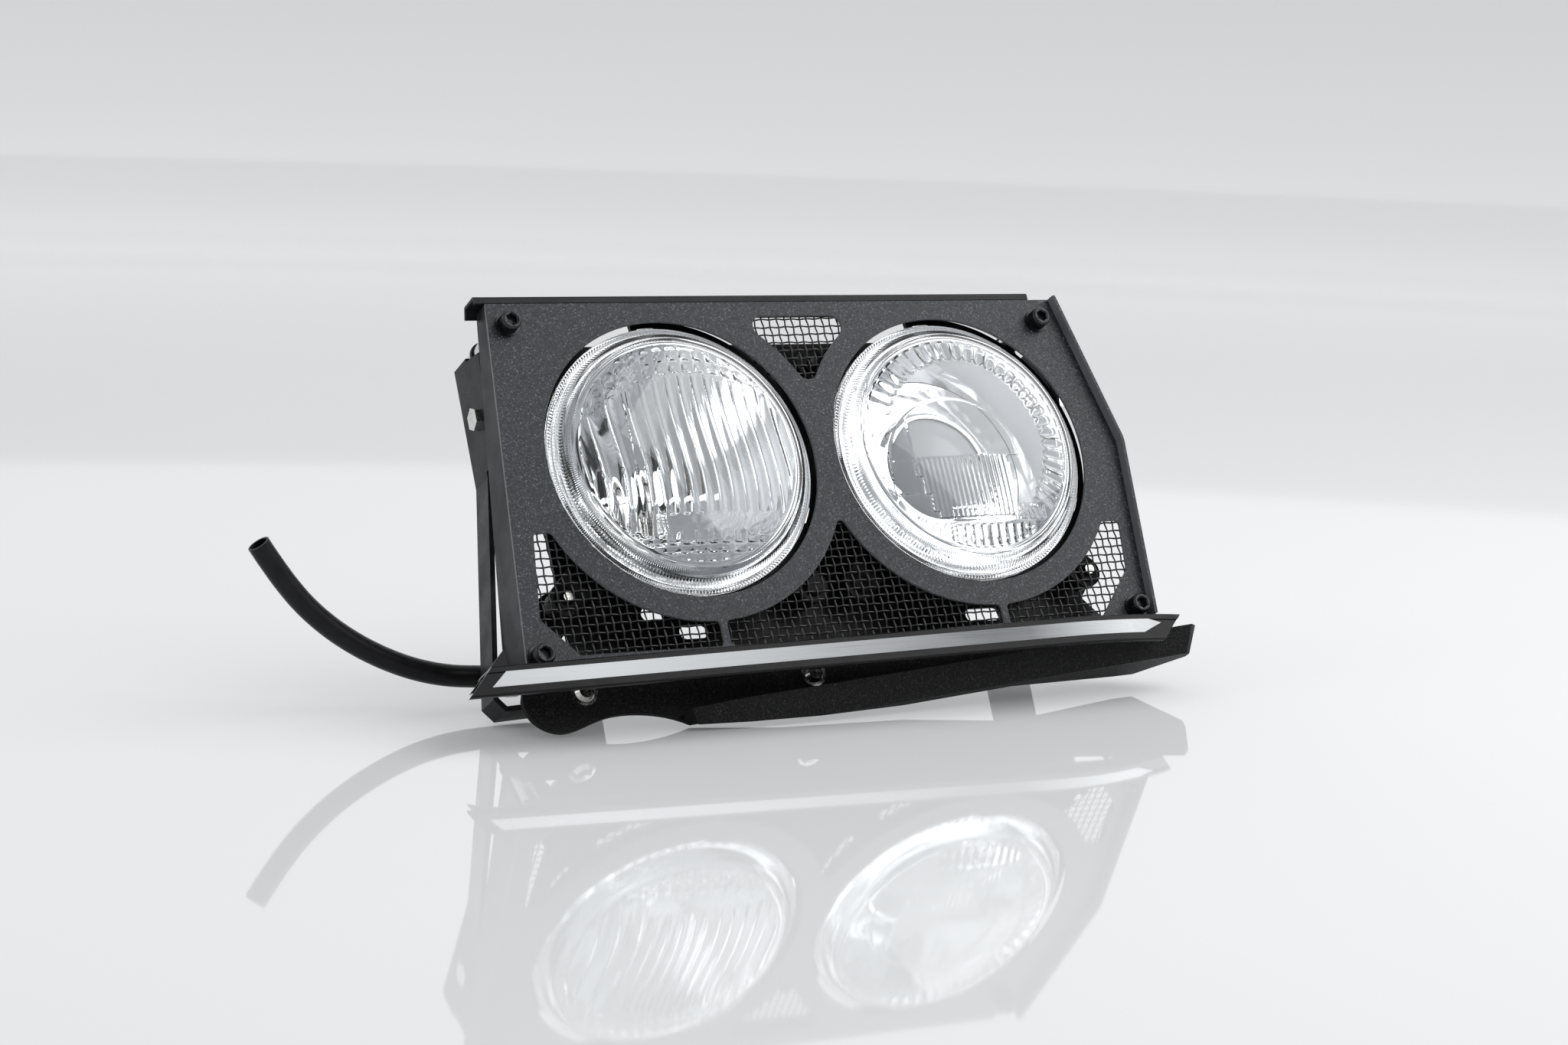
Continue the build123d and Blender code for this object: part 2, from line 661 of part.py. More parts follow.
with BuildPart() as bulb_shield:
    add(tube(8.6, 7.6, -58.0, -44.0, -LAMP_X))
    add(rod(8.6, -44.0, -42.6, -LAMP_X))
    with BuildSketch(front(-58.0, -LAMP_X)):
        Rectangle(2 * bowl(-58.0) - 0.6, 2.4)
        Circle(7.6, mode=Mode.SUBTRACT)
    extrude(amount=1.2)
keep(bulb_shield, "left_bulb_shield")

# ---- projector optic in the right lamp -------------------------------------------------------------
OPTIC_R, OPTIC_BACK, OPTIC_EDGE, OPTIC_APEX = 27.0, -34.0, -29.0, -16.0
with BuildPart() as projector_lens:
    with BuildSketch(lengthwise(LAMP_X)):
        with BuildLine():
            Polyline((0, OPTIC_APEX), (0, OPTIC_BACK + 3.0), (OPTIC_R, OPTIC_BACK + 3.0), (OPTIC_R, OPTIC_EDGE))
            ThreePointArc(
                (OPTIC_R, OPTIC_EDGE),
                (OPTIC_R / 2, cap_height(OPTIC_R / 2, OPTIC_R, OPTIC_EDGE, OPTIC_APEX)),
                (0, OPTIC_APEX),
            )
        make_face()
    revolve(axis=spin_axis(LAMP_X))
keep(projector_lens, "right_projector_lens")

with BuildPart() as projector_ring:
    add(
        turned(
            [
                (OPTIC_R - 3.0, OPTIC_BACK),
                (bowl(OPTIC_BACK) - 0.4, OPTIC_BACK),
                (bowl(OPTIC_BACK) + 0.2, OPTIC_BACK + 1.5),
                (OPTIC_R + 4.0, OPTIC_BACK + 4.0),
                (OPTIC_R + 2.0, OPTIC_BACK + 6.5),
                (OPTIC_R + 0.3, OPTIC_BACK + 6.5),
                (OPTIC_R + 0.3, OPTIC_BACK + 3.0),
                (OPTIC_R - 3.0, OPTIC_BACK + 3.0),
            ],
            LAMP_X,
        )
    )
keep(projector_ring, "right_projector_ring")

# ---- finisher across the bottom, with its inlaid stripe ---------------------------------------------
TRIM = tilted(TRIM_Y, TRIM_TILT)
TRIM_START = -214.0
BEND_RUN = TRIM_END_X - TRIM_BEND_X
BEND_R = (BEND_RUN**2 + TRIM_END_SET**2) / (2 * TRIM_END_SET)
BEND_ANGLE = asin(BEND_RUN / BEND_R)


def bend(angle):
    """A point on the arc where the finisher curves back at its right end."""
    return (TRIM_BEND_X + BEND_R * sin(angle), -BEND_R * (1 - cos(angle)))


def trim_solid(profile, outline, low, high):
    """A profile swept along the finisher's bend, then trimmed to an outline seen from the front."""
    start = Plane(origin=TRIM.from_local_coords(Vector(TRIM_START, 0, 0)), x_dir=TRIM.y_dir, z_dir=TRIM.x_dir)
    with BuildPart() as body:
        with BuildLine(Plane(origin=TRIM.origin, x_dir=TRIM.x_dir, z_dir=-TRIM.y_dir)) as route:
            Line((TRIM_START, 0), (TRIM_BEND_X, 0))
            ThreePointArc((TRIM_BEND_X, 0), bend(BEND_ANGLE / 2), bend(BEND_ANGLE))
        with BuildSketch(start):
            with BuildLine():
                Polyline(*profile, close=True)
            make_face()
        sweep(path=route.wires()[0])
        with BuildSketch(Plane(origin=TRIM.from_local_coords(Vector(0, 0, low)), x_dir=TRIM.x_dir, z_dir=TRIM.z_dir)):
            with BuildLine():
                Polyline(*outline, close=True)
            make_face()
        extrude(amount=high - low, mode=Mode.INTERSECT)
    return body.part


with BuildPart() as bottom_trim:
    add(
        trim_solid(
            [
                (TRIM_HALF, 0.3),
                (TRIM_HALF, TRIM_FRONT - 1.0),
                (TRIM_HALF - 0.8, TRIM_FRONT),
                (STRIPE_TOP, TRIM_FRONT),
                (STRIPE_TOP, TRIM_FRONT - STRIPE_T),
                (STRIPE_BOTTOM, TRIM_FRONT - STRIPE_T),
                (STRIPE_BOTTOM, TRIM_FRONT),
                (-TRIM_HALF + 0.8, TRIM_FRONT),
                (-TRIM_HALF, TRIM_FRONT - 0.8),
                (-TRIM_HALF, TRIM_FRONT - STRIPE_T - TRIM_T),
                (TRIM_HALF - TRIM_T, TRIM_FRONT - STRIPE_T - TRIM_T),
                (TRIM_HALF - TRIM_T, 0.3),
            ],
            [
                (-212.0, -TRIM_HALF - 1),
                (-197.0, TRIM_HALF + 1),
                (TRIM_END_X - 2.0, TRIM_HALF + 1),
                (TRIM_END_X - 20.0, -TRIM_HALF - 1),
            ],
            -2 * TRIM_FRONT,
            2 * TRIM_FRONT,
        )
    )
    with BuildSketch(front(-3 * TRIM_FRONT)):
        with BuildLine():
            Polyline(*PANEL_OUTLINE, close=True)
        make_face()
        offset(amount=2.0)
    extrude(amount=3 * TRIM_FRONT + 0.3, mode=Mode.SUBTRACT)
    with BuildSketch(front(4.0)):
        with BuildLine():
            Polyline((-206.5, -111.5), (-186.6, -91.5), (-186.0, -104.0), close=True)
        make_face()
    extrude(amount=1.6)
keep(bottom_trim, "bottom_trim")

with BuildPart() as trim_stripe:
    add(
        trim_solid(
            [
                (STRIPE_TOP, TRIM_FRONT + 0.2),
                (STRIPE_BOTTOM, TRIM_FRONT + 0.2),
                (STRIPE_BOTTOM, TRIM_FRONT - STRIPE_T),
                (STRIPE_TOP, TRIM_FRONT - STRIPE_T),
            ],
            [
                (-200.5, STRIPE_BOTTOM - 0.5),
                (-191.5, STRIPE_TOP + 0.5),
                (150.0, STRIPE_TOP + 0.5),
                (160.0, STRIPE_TOP - 2.0),
                (146.0, STRIPE_BOTTOM - 0.5),
            ],
            -TRIM_FRONT,
            2 * TRIM_FRONT,
        )
    )
keep(trim_stripe, "trim_stripe")

# ---- apron under the trim: a flange for its screws and a hollow tray coming forward -----------------
APRON = tilted(APRON_Y, APRON_TILT)
APRON_SCREWS = [(-143.0, -108.0), (-24.5, -106.4)]
TRAY = Plane(origin=APRON.origin, x_dir=APRON.x_dir, z_dir=-APRON.y_dir)
TRAY_CORNERS = [                # corner across and out, and which way it moves where the tray narrows
    ((-97.0, FLANGE_BACK), (0.8, 0.6)),
    ((-97.0, -3.0), (1.0, -1.0)),
    ((-70.0, 0.0), (0.3, -1.0)),
    ((185.6, 0.0), (-0.8, -1.0)),
    ((190.2, -4.0), (-1.1, -0.6)),
    ((191.2, -12.0), (-1.2, 0.0)),
    ((166.0, -36.0), (-0.5, 1.0)),
    ((150.0, -34.0), (0.0, 1.0)),
    ((80.0, FLANGE_BACK), (0.0, 1.0)),
]


def tray(inset, depth, floor_z):
    """The tray's outline, moved in by an inset and narrowing downward, above a level floor."""
    with BuildPart() as body:
        for drop in (0.0, depth):
            narrow = inset + drop * tan(radians(APRON_TAPER))
            corners = [(x + dx * narrow, z + dz * narrow) for (x, z), (dx, dz) in TRAY_CORNERS]
            with BuildSketch(TRAY.offset(drop)):
                with BuildLine():
                    Polyline(*corners, close=True)
                make_face()
        loft(ruled=True)
        split(bisect_by=Plane.XY.offset(floor_z), keep=Keep.TOP)
    return body.part


with BuildPart() as apron:
    add(tray(0.0, APRON_DEPTH, APRON_FLOOR_Z))
    add(tray(APRON_WALL, APRON_DEPTH - APRON_WALL, APRON_FLOOR_Z + APRON_WALL), mode=Mode.SUBTRACT)
    with BuildSketch(front(FLANGE_BACK)):
        with BuildLine():
            Polyline((-173.5, -110.0), (-171.5, -103.0), (-152.0, -103.0), (-150.0, -92.0), (110.0, -92.0))
            Polyline((110.0, -92.0), (110.0, -109.0), (80.0, -111.6), (-92.0, -126.4))
            Spline(
                (-92.0, -126.4),
                (-104.3, -121.8),
                (-119.4, -119.6),
                (-135.0, -120.7),
                (-146.3, -124.3),
                (-157.0, -126.2),
                (-167.5, -122.0),
                (-173.5, -110.0),
            )
        make_face()
        with Locations(*APRON_SCREWS):
            Circle(APRON_SCREW_R + 0.2, mode=Mode.SUBTRACT)
    extrude(amount=FLANGE_T)
keep(apron, "apron")

FLANGE_FRONT = FLANGE_BACK + FLANGE_T
with BuildPart() as apron_screws:
    for x, y in APRON_SCREWS:
        add(
            turned(
                [
                    (0, FLANGE_BACK - 4.0),
                    (APRON_SCREW_R, FLANGE_BACK - 4.0),
                    (APRON_SCREW_R, FLANGE_FRONT),
                    (APRON_HEAD_R, FLANGE_FRONT),
                    (APRON_HEAD_R, FLANGE_FRONT + 1.2),
                    (APRON_HEAD_R - 1.6, FLANGE_FRONT + 1.4),
                    (APRON_HEAD_R - 3.0, FLANGE_FRONT + 3.6),
                    (0, FLANGE_FRONT + 4.0),
                ],
                x,
                y,
            )
        )
keep(apron_screws, "apron_screws")

# ---- side brackets: bent flat bar behind each side wall -----------------------------------------------
for side, bar, inward, turn in (("left", LEFT_BAR, 1, Side.LEFT), ("right", RIGHT_BAR, -1, Side.RIGHT)):
    bar_x = bar[0][0]
    with BuildPart() as bracket:
        with BuildSketch(front(BAR_BACK)):
            with BuildLine():
                Polyline(*bar)
                offset(amount=BAR_T, side=turn)
            make_face()
        extrude(amount=BAR_FRONT - BAR_BACK)
        with BuildSketch(across(bar_x)):
            with BuildLine():
                Polyline(
                    (66.0, -43.0),
                    (62.0, TAB_FRONT_Z),
                    (8.0, TAB_FRONT_Z - 10),
                    (8.0, BAR_FRONT - 4),
                    (20.0, -40.0),
                    close=True,
                )
            make_face()
        extrude(amount=inward * BAR_T)
        with BuildSketch(across(bar_x - inward * BAR_T)):
            with Locations((BOLT_Y, BOLT_Z)):
                Circle(SCREW_R + CLEAR)
        extrude(amount=inward * 4 * BAR_T, mode=Mode.SUBTRACT)
    keep(bracket, f"{side}_bracket")

with BuildPart() as bracket_bolts:
    for bar_x, inward in BAR_EARS:
        with BuildSketch(across(bar_x)):
            with Locations((BOLT_Y, BOLT_Z)):
                RegularPolygon(5.8, 6)
        extrude(amount=-inward * 4.2)
        with BuildSketch(across(bar_x)):
            with Locations((BOLT_Y, BOLT_Z)):
                Circle(SCREW_R)
        extrude(amount=inward * 13.0)
keep(bracket_bolts, "bracket_bolts")

with BuildPart() as bracket_nuts:
    for bar_x, inward in BAR_EARS:
        with BuildSketch(across(bar_x + inward * (BAR_T + EAR_T))):
            with Locations((BOLT_Y, BOLT_Z)):
                RegularPolygon(5.8, 6)
                Circle(SCREW_R + 0.1, mode=Mode.SUBTRACT)
        extrude(amount=inward * 5.0)
keep(bracket_nuts, "bracket_nuts")

# ---- rear stays: bent strips from the carrier down to a pair of drilled feet ----------------------------
LEG_TOP, LEG_LOW = -46.0, -68.0
GLAND_Y, GLAND_Z, GLAND_R = 5.0, 14.3, 11.0
SIDE_VIEW_X = FACE_X - STAY_W / 2


def upright(x):
    """Sketch plane facing +X at a row position: its axes are the row's Y and Z."""
    return Plane(origin=(x, 0, 0), x_dir=(0, 1, 0), z_dir=(1, 0, 0))


for side, stay_x in (("left", -STAY_X), ("right", STAY_X)):
    leg_top = at(0, LEG_TOP, CARRIER_Z - CARRIER_T)
    leg_low = at(0, LEG_LOW, CARRIER_Z - CARRIER_T)
    with BuildPart() as stay:
        with BuildSketch(upright(SIDE_VIEW_X + stay_x)):
            with BuildLine():
                Polyline((leg_top.Y, leg_top.Z), (leg_low.Y, leg_low.Z), (FOOT_START, 0), (FOOT_END, 0))
                offset(amount=STAY_T, side=Side.LEFT)
            make_face()
        extrude(amount=STAY_W)
        if side == "left":
            with BuildSketch(upright(SIDE_VIEW_X + stay_x)):
                with Locations((GLAND_Y, GLAND_Z)):
                    Circle(GLAND_R)
            extrude(amount=STAY_T)
            with BuildSketch(upright(SIDE_VIEW_X + stay_x)):
                with Locations((GLAND_Y, GLAND_Z)):
                    Circle(CONDUIT_BORE_R)
            extrude(amount=STAY_T, mode=Mode.SUBTRACT)
        with BuildSketch(front(CARRIER_Z)):
            with Locations((stay_x, -52.0), (stay_x, -62.0)):
                Circle(2.7)
        extrude(amount=-4 * STAY_T, mode=Mode.SUBTRACT)
        with BuildSketch(Plane.XY):
            with Locations((FACE_X + stay_x, FOOT_BORE_Y)):
                Circle(FOOT_BORE_R)
        extrude(amount=2 * STAY_T, mode=Mode.SUBTRACT)
    keep(stay, f"{side}_stay")

with BuildPart() as stay_bolts:
    for x, y in STAY_BOLTS:
        with BuildSketch(front(CARRIER_Z, x, y)):
            RegularPolygon(4.6, 6)
        extrude(amount=3.5)
        add(rod(2.4, CARRIER_Z - CARRIER_T - STAY_T - 5.0, CARRIER_Z, x, y))
keep(stay_bolts, "stay_bolts")

# ---- hollow conduit for the wiring, held by a grommet on the left stay -----------------------------------
GLAND_X = SIDE_VIEW_X - STAY_X
GROMMET_LENGTH = 7.0
with BuildPart() as conduit_grommet:
    with BuildSketch(upright(GLAND_X)):
        with Locations((GLAND_Y, GLAND_Z)):
            Circle(8.0)
            Circle(CONDUIT_BORE_R, mode=Mode.SUBTRACT)
    extrude(amount=-GROMMET_LENGTH, taper=6)
keep(conduit_grommet, "conduit_grommet")

CONDUIT_ROUTE = [
    (GLAND_X - GROMMET_LENGTH, GLAND_Y, GLAND_Z),
    (-160.8, GLAND_Y, GLAND_Z),
    (-187.8, 4.8, 18.8),
    (-213.8, 4.5, 29.8),
    (-236.8, 4.2, 45.3),
    (-254.8, 4.0, 64.3),
    (-267.0, 3.8, 82.8),
]


def bend_radii(points):
    """One radius per corner: 0.45 of the shorter run over the tangent of half the turn."""
    radii = []
    for before, corner, after in zip(points, points[1:], points[2:]):
        run_in = Vector(*corner) - Vector(*before)
        run_out = Vector(*after) - Vector(*corner)
        turn = radians(run_in.get_angle(run_out))
        radii.append(0.45 * min(run_in.length, run_out.length) / tan(turn / 2))
    return radii


conduit_radii = bend_radii(CONDUIT_ROUTE)
print("conduit bend radii", [round(radius, 1) for radius in conduit_radii])
with BuildPart() as conduit:
    with BuildLine() as conduit_path:
        FilletPolyline(*CONDUIT_ROUTE, radius=conduit_radii)
    conduit_wire = conduit_path.wires()[0]
    with BuildSketch(Plane(origin=conduit_wire @ 0, z_dir=conduit_wire % 0)):
        Circle(CONDUIT_R)
        Circle(CONDUIT_BORE_R, mode=Mode.SUBTRACT)
    sweep(path=conduit_wire)
print("conduit length", round(conduit_wire.length, 1), "volume", round(conduit.part.volume))
print("section times length", round(pi * (CONDUIT_R**2 - CONDUIT_BORE_R**2) * conduit_wire.length))
keep(conduit, "conduit")
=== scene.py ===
import json
import math

import bmesh
import bpy
from mathutils import Matrix, Vector


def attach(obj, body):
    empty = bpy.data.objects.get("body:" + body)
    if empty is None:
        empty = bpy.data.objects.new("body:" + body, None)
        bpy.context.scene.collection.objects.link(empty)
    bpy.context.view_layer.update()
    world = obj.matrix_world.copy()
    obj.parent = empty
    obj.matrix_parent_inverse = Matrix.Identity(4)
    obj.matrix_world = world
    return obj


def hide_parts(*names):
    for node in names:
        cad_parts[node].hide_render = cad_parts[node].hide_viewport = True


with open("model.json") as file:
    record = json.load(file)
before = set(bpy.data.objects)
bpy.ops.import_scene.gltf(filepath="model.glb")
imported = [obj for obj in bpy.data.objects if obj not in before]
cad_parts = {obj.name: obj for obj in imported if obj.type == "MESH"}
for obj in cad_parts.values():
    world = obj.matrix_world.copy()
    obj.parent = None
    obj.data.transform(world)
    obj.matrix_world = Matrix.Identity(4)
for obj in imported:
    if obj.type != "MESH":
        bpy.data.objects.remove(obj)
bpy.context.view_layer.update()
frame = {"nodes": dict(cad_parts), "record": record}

MM = 0.001
FULL_TURN = 2 * math.pi

# ---- the panel's own frame: x across, y up the panel, z out of its face, in millimetres ----
FACE_AT = Vector((10.2, -16.78, 119.0))
SIN_LEAN = 0.5
COS_LEAN = math.cos(math.radians(30))
ACROSS = Vector((1, 0, 0))
UP_PANEL = Vector((0, SIN_LEAN, COS_LEAN))
OUTWARD = Vector((0, -COS_LEAN, SIN_LEAN))


def at(x, y, z=0.0):
    """A point of the panel's frame, in the shared frame and in metres."""
    return (FACE_AT + ACROSS * x + UP_PANEL * y + OUTWARD * z) * MM


# ---- materials ----
class Finish:
    """A Principled material with procedural detail on the object's coordinates, in metres."""

    def __init__(self, name, colour, rough, metal=0.0, **sockets):
        self.material = bpy.data.materials.new(name)
        self.material.use_nodes = True
        self.tree = self.material.node_tree
        self.shader = self.tree.nodes["Principled BSDF"]
        self.set("Base Color", (*colour, 1.0))
        self.set("Roughness", rough)
        self.set("Metallic", metal)
        for socket, value in sockets.items():
            self.set(socket.replace("_", " "), value)
        self.coords = self.tree.nodes.new("ShaderNodeTexCoord")
        self.last_bump = None

    def set(self, socket, value):
        self.shader.inputs[socket].default_value = value

    def link(self, source, target):
        self.tree.links.new(source, target)

    def scaled(self, stretch):
        """The object's coordinates, scaled along its own axes."""
        node = self.tree.nodes.new("ShaderNodeMapping")
        node.inputs["Scale"].default_value = stretch
        self.link(self.coords.outputs["Object"], node.inputs["Vector"])
        return node.outputs["Vector"]

    def noise(self, scale, detail=3.0, stretch=(1, 1, 1)):
        node = self.tree.nodes.new("ShaderNodeTexNoise")
        node.inputs["Scale"].default_value = scale
        node.inputs["Detail"].default_value = detail
        self.link(self.scaled(stretch), node.inputs["Vector"])
        return node.outputs["Fac"]

    def cells(self, scale):
        node = self.tree.nodes.new("ShaderNodeTexVoronoi")
        node.inputs["Scale"].default_value = scale
        self.link(self.scaled((1, 1, 1)), node.inputs["Vector"])
        return node.outputs["Distance"], node.outputs["Color"]

    def ramp(self, source, stops):
        node = self.tree.nodes.new("ShaderNodeValToRGB")
        node.color_ramp.elements[0].position = stops[0][0]
        node.color_ramp.elements[0].color = (*stops[0][1], 1)
        node.color_ramp.elements[1].position = stops[-1][0]
        node.color_ramp.elements[1].color = (*stops[-1][1], 1)
        for position, colour in stops[1:-1]:
            element = node.color_ramp.elements.new(position)
            element.color = (*colour, 1)
        self.link(source, node.inputs["Fac"])
        return node.outputs["Color"]

    def spread(self, source, low, high, from_low=0.35, from_high=0.65):
        """A value mapped to a new range; most of a noise lies in the default old one."""
        node = self.tree.nodes.new("ShaderNodeMapRange")
        node.inputs["From Min"].default_value = from_low
        node.inputs["From Max"].default_value = from_high
        node.inputs["To Min"].default_value = low
        node.inputs["To Max"].default_value = high
        self.link(source, node.inputs["Value"])
        return node.outputs["Result"]

    def colour_from(self, output):
        self.link(output, self.shader.inputs["Base Color"])

    def rough_from(self, output):
        self.link(output, self.shader.inputs["Roughness"])

    def mix(self, factor, first, second):
        """A blend of two colours, each a tuple or an output."""
        node = self.tree.nodes.new("ShaderNodeMix")
        node.data_type = "RGBA"
        self.link(factor, node.inputs["Factor"])
        colour_a, colour_b, blended = node.inputs[6], node.inputs[7], node.outputs[2]
        for value, socket in ((first, colour_a), (second, colour_b)):
            if isinstance(value, tuple):
                socket.default_value = (*value, 1)
            else:
                self.link(value, socket)
        return blended

    def sideways(self, low, high):
        """1 where the surface faces along the panel, 0 where it faces out of it or back."""
        dot = self.tree.nodes.new("ShaderNodeVectorMath")
        dot.operation = "DOT_PRODUCT"
        dot.inputs[1].default_value = OUTWARD
        self.link(self.coords.outputs["Normal"], dot.inputs[0])
        size = self.tree.nodes.new("ShaderNodeMath")
        size.operation = "ABSOLUTE"
        self.link(dot.outputs["Value"], size.inputs[0])
        return self.spread(size.outputs[0], 1.0, 0.0, low, high)

    def bump(self, source, distance_mm, strength=1.0):
        node = self.tree.nodes.new("ShaderNodeBump")
        node.inputs["Strength"].default_value = strength
        node.inputs["Distance"].default_value = distance_mm * MM
        self.link(source, node.inputs["Height"])
        if self.last_bump:
            self.link(self.last_bump, node.inputs["Normal"])
        self.last_bump = node.outputs["Normal"]
        self.link(self.last_bump, self.shader.inputs["Normal"])


def panel_paint():
    f = Finish("panel_powder_coat", (0.02, 0.022, 0.027), 0.42, Specular_IOR_Level=0.35)
    grain = f.noise(1500, 4)
    fleck = f.cells(1900)[1]
    base = f.ramp(grain, [
        (0.3, (0.007, 0.008, 0.010)),
        (0.5, (0.016, 0.018, 0.023)),
        (0.72, (0.045, 0.05, 0.062)),
    ])
    split = f.tree.nodes.new("ShaderNodeSeparateColor")
    f.link(fleck, split.inputs["Color"])
    bright = f.spread(split.outputs["Red"], 0.0, 0.5, 0.88, 1.0)
    flecked = f.mix(bright, base, (0.26, 0.28, 0.32))
    # The faces along the panel, its cut edges, are mixed to a lighter grey (0.16, 0.17, 0.18) as a
    # painted highlight on every edge.
    f.colour_from(f.mix(f.sideways(0.2, 0.5), flecked, (0.16, 0.17, 0.18)))
    f.rough_from(f.spread(f.noise(900, 2), 0.36, 0.55))
    f.bump(grain, 0.035, 0.4)
    return f.material


def wall_paint():
    f = Finish("wall_satin_paint", (0.015, 0.015, 0.016), 0.36, Specular_IOR_Level=0.16)
    grain = f.noise(1200, 3)
    f.colour_from(f.ramp(grain, [(0.3, (0.008, 0.008, 0.009)), (0.7, (0.022, 0.022, 0.024))]))
    f.rough_from(f.spread(f.noise(60, 2), 0.28, 0.42))
    f.bump(grain, 0.03, 0.35)
    return f.material


def black_paint():
    f = Finish("bracket_black_paint", (0.012, 0.012, 0.013), 0.33, Specular_IOR_Level=0.14)
    worn = f.noise(240, 4)
    f.colour_from(f.ramp(worn, [(0.3, (0.007, 0.007, 0.008)), (0.75, (0.02, 0.02, 0.022))]))
    f.rough_from(f.spread(f.noise(45, 3), 0.24, 0.46))
    f.bump(f.noise(1400, 2), 0.02, 0.3)
    return f.material


def wire_paint():
    f = Finish("mesh_black_wire", (0.012, 0.012, 0.013), 0.28)
    f.colour_from(f.ramp(f.noise(500, 3), [(0.35, (0.006, 0.006, 0.007)), (0.7, (0.02, 0.02, 0.021))]))
    f.rough_from(f.spread(f.noise(350, 2), 0.2, 0.42))
    return f.material


def screw_black():
    f = Finish("screw_black_oxide", (0.014, 0.014, 0.016), 0.2, 0.5)
    f.colour_from(f.ramp(f.noise(420, 3), [(0.35, (0.008, 0.008, 0.009)), (0.72, (0.035, 0.035, 0.04))]))
    f.rough_from(f.spread(f.noise(260, 3), 0.14, 0.3))
    return f.material


def zinc():
    f = Finish("zinc_plate", (0.6, 0.58, 0.54), 0.3, 1.0)
    plating = f.ramp(f.noise(160, 4), [
        (0.3, (0.62, 0.61, 0.58)),
        (0.55, (0.74, 0.735, 0.72)),
        (0.75, (0.82, 0.82, 0.81)),
    ])
    f.colour_from(plating)
    f.rough_from(f.spread(f.noise(700, 3), 0.16, 0.3))
    return f.material


def glass(name, tint, rough, ripple):
    f = Finish(name, tint, rough, 0.0, Transmission_Weight=1.0, IOR=1.5)
    f.bump(f.noise(70, 2), ripple, 0.35)
    return f.material


def chrome(name, colour, rough):
    f = Finish(name, colour, rough, 1.0)
    f.colour_from(f.ramp(f.noise(30, 2), [(0.3, tuple(c * 0.93 for c in colour)), (0.7, colour)]))
    f.rough_from(f.spread(f.noise(220, 4), rough * 0.6, rough * 1.6))
    return f.material


def frosted():
    f = Finish("optic_frosted_glass", (0.8, 0.82, 0.85), 0.16, 0.0, Transmission_Weight=0.3, IOR=1.5)
    f.rough_from(f.spread(f.noise(160, 3), 0.12, 0.24))
    return f.material


def plastic(name, colour, rough, grain_scale, grain_mm, specular=0.5):
    f = Finish(name, colour, rough, Specular_IOR_Level=specular)
    dark = tuple(c * 0.65 for c in colour)
    light = tuple(min(1, c * 1.5) for c in colour)
    f.colour_from(f.ramp(f.noise(grain_scale * 0.3, 3), [(0.3, dark), (0.7, light)]))
    f.rough_from(f.spread(f.noise(grain_scale * 0.6, 3), rough * 0.8, min(1, rough * 1.25)))
    f.bump(f.noise(grain_scale, 3), grain_mm, 0.5)
    return f.material


def apron_skin():
    f = Finish("apron_grained_skin", (0.01, 0.01, 0.011), 0.5, Specular_IOR_Level=0.1)
    pits = f.noise(1300, 5)
    face = f.ramp(pits, [(0.35, (0.004, 0.004, 0.0045)), (0.8, (0.012, 0.012, 0.013))])
    cut = f.ramp(pits, [
        (0.4, (0.008, 0.008, 0.008)),
        (0.58, (0.02, 0.02, 0.02)),
        (0.75, (0.06, 0.06, 0.06)),
    ])
    f.colour_from(f.mix(f.sideways(0.35, 0.75), cut, face))
    f.rough_from(f.spread(pits, 0.36, 0.6))
    f.bump(pits, 0.06, 0.5)
    return f.material


def stripe_silver():
    """Satin silver, drawn along its length, with a painted reflection: light at the ends and darkest
    right of the middle.
    """
    f = Finish("stripe_satin_silver", (0.4, 0.415, 0.43), 0.34, 1.0)
    drawn = f.noise(900, 3, (0.03, 1, 1))
    # light and dark are lit and shaded copies of the silver, blended along X below as a painted
    # reflection.
    light = f.ramp(drawn, [(0.3, (0.3, 0.31, 0.32)), (0.7, (0.42, 0.43, 0.44))])
    dark = f.ramp(drawn, [(0.3, (0.07, 0.073, 0.077)), (0.7, (0.13, 0.134, 0.14))])
    place = f.tree.nodes.new("ShaderNodeSeparateXYZ")
    f.link(f.coords.outputs["Object"], place.inputs["Vector"])
    painted_reflection_fade = f.spread(place.outputs["X"], 0.0, 1.0, -0.14, 0.07)
    back = f.spread(place.outputs["X"], 0.0, 1.0, 0.09, 0.15)
    f.colour_from(f.mix(back, f.mix(painted_reflection_fade, light, dark), light))
    f.rough_from(f.spread(drawn, 0.3, 0.42))
    f.bump(drawn, 0.01, 0.4)
    return f.material


LOOKS = {
    "panel_paint": panel_paint(),
    "wall_paint": wall_paint(),
    "mesh_wire": wire_paint(),
    "bracket_paint": black_paint(),
    "black_screw": screw_black(),
    "zinc_steel": zinc(),
    "lamp_glass": glass("lamp_glass_clear", (0.98, 0.99, 1.0), rough=0.0, ripple=0.12),
    "mirror_coat": chrome("lamp_mirror_coat", (0.9, 0.91, 0.92), rough=0.05),
    "ring_plastic": plastic(
        "ring_black_plastic", (0.008, 0.008, 0.009),
        rough=0.42, grain_scale=800, grain_mm=0.04, specular=0.15,
    ),
    "cap_rubber": plastic(
        "cap_black_rubber", (0.024, 0.024, 0.026),
        rough=0.6, grain_scale=500, grain_mm=0.08,
    ),
    "bulb_glass": glass("bulb_glass_clear", (1.0, 1.0, 0.99), rough=0.0, ripple=0.03),
    "trim_gloss": plastic(
        "trim_gloss_black", (0.006, 0.006, 0.007),
        rough=0.24, grain_scale=300, grain_mm=0.01, specular=0.16,
    ),
    "stripe_silver": stripe_silver(),
    "apron_skin": apron_skin(),
    "conduit_plastic": plastic(
        "conduit_black_plastic", (0.008, 0.008, 0.009),
        rough=0.36, grain_scale=400, grain_mm=0.04, specular=0.2,
    ),
}
for part in frame["record"]["subparts"]:
    node = frame["nodes"][part["node"]]
    node.data.materials.clear()
    node.data.materials.append(LOOKS[part["material_slot"]])


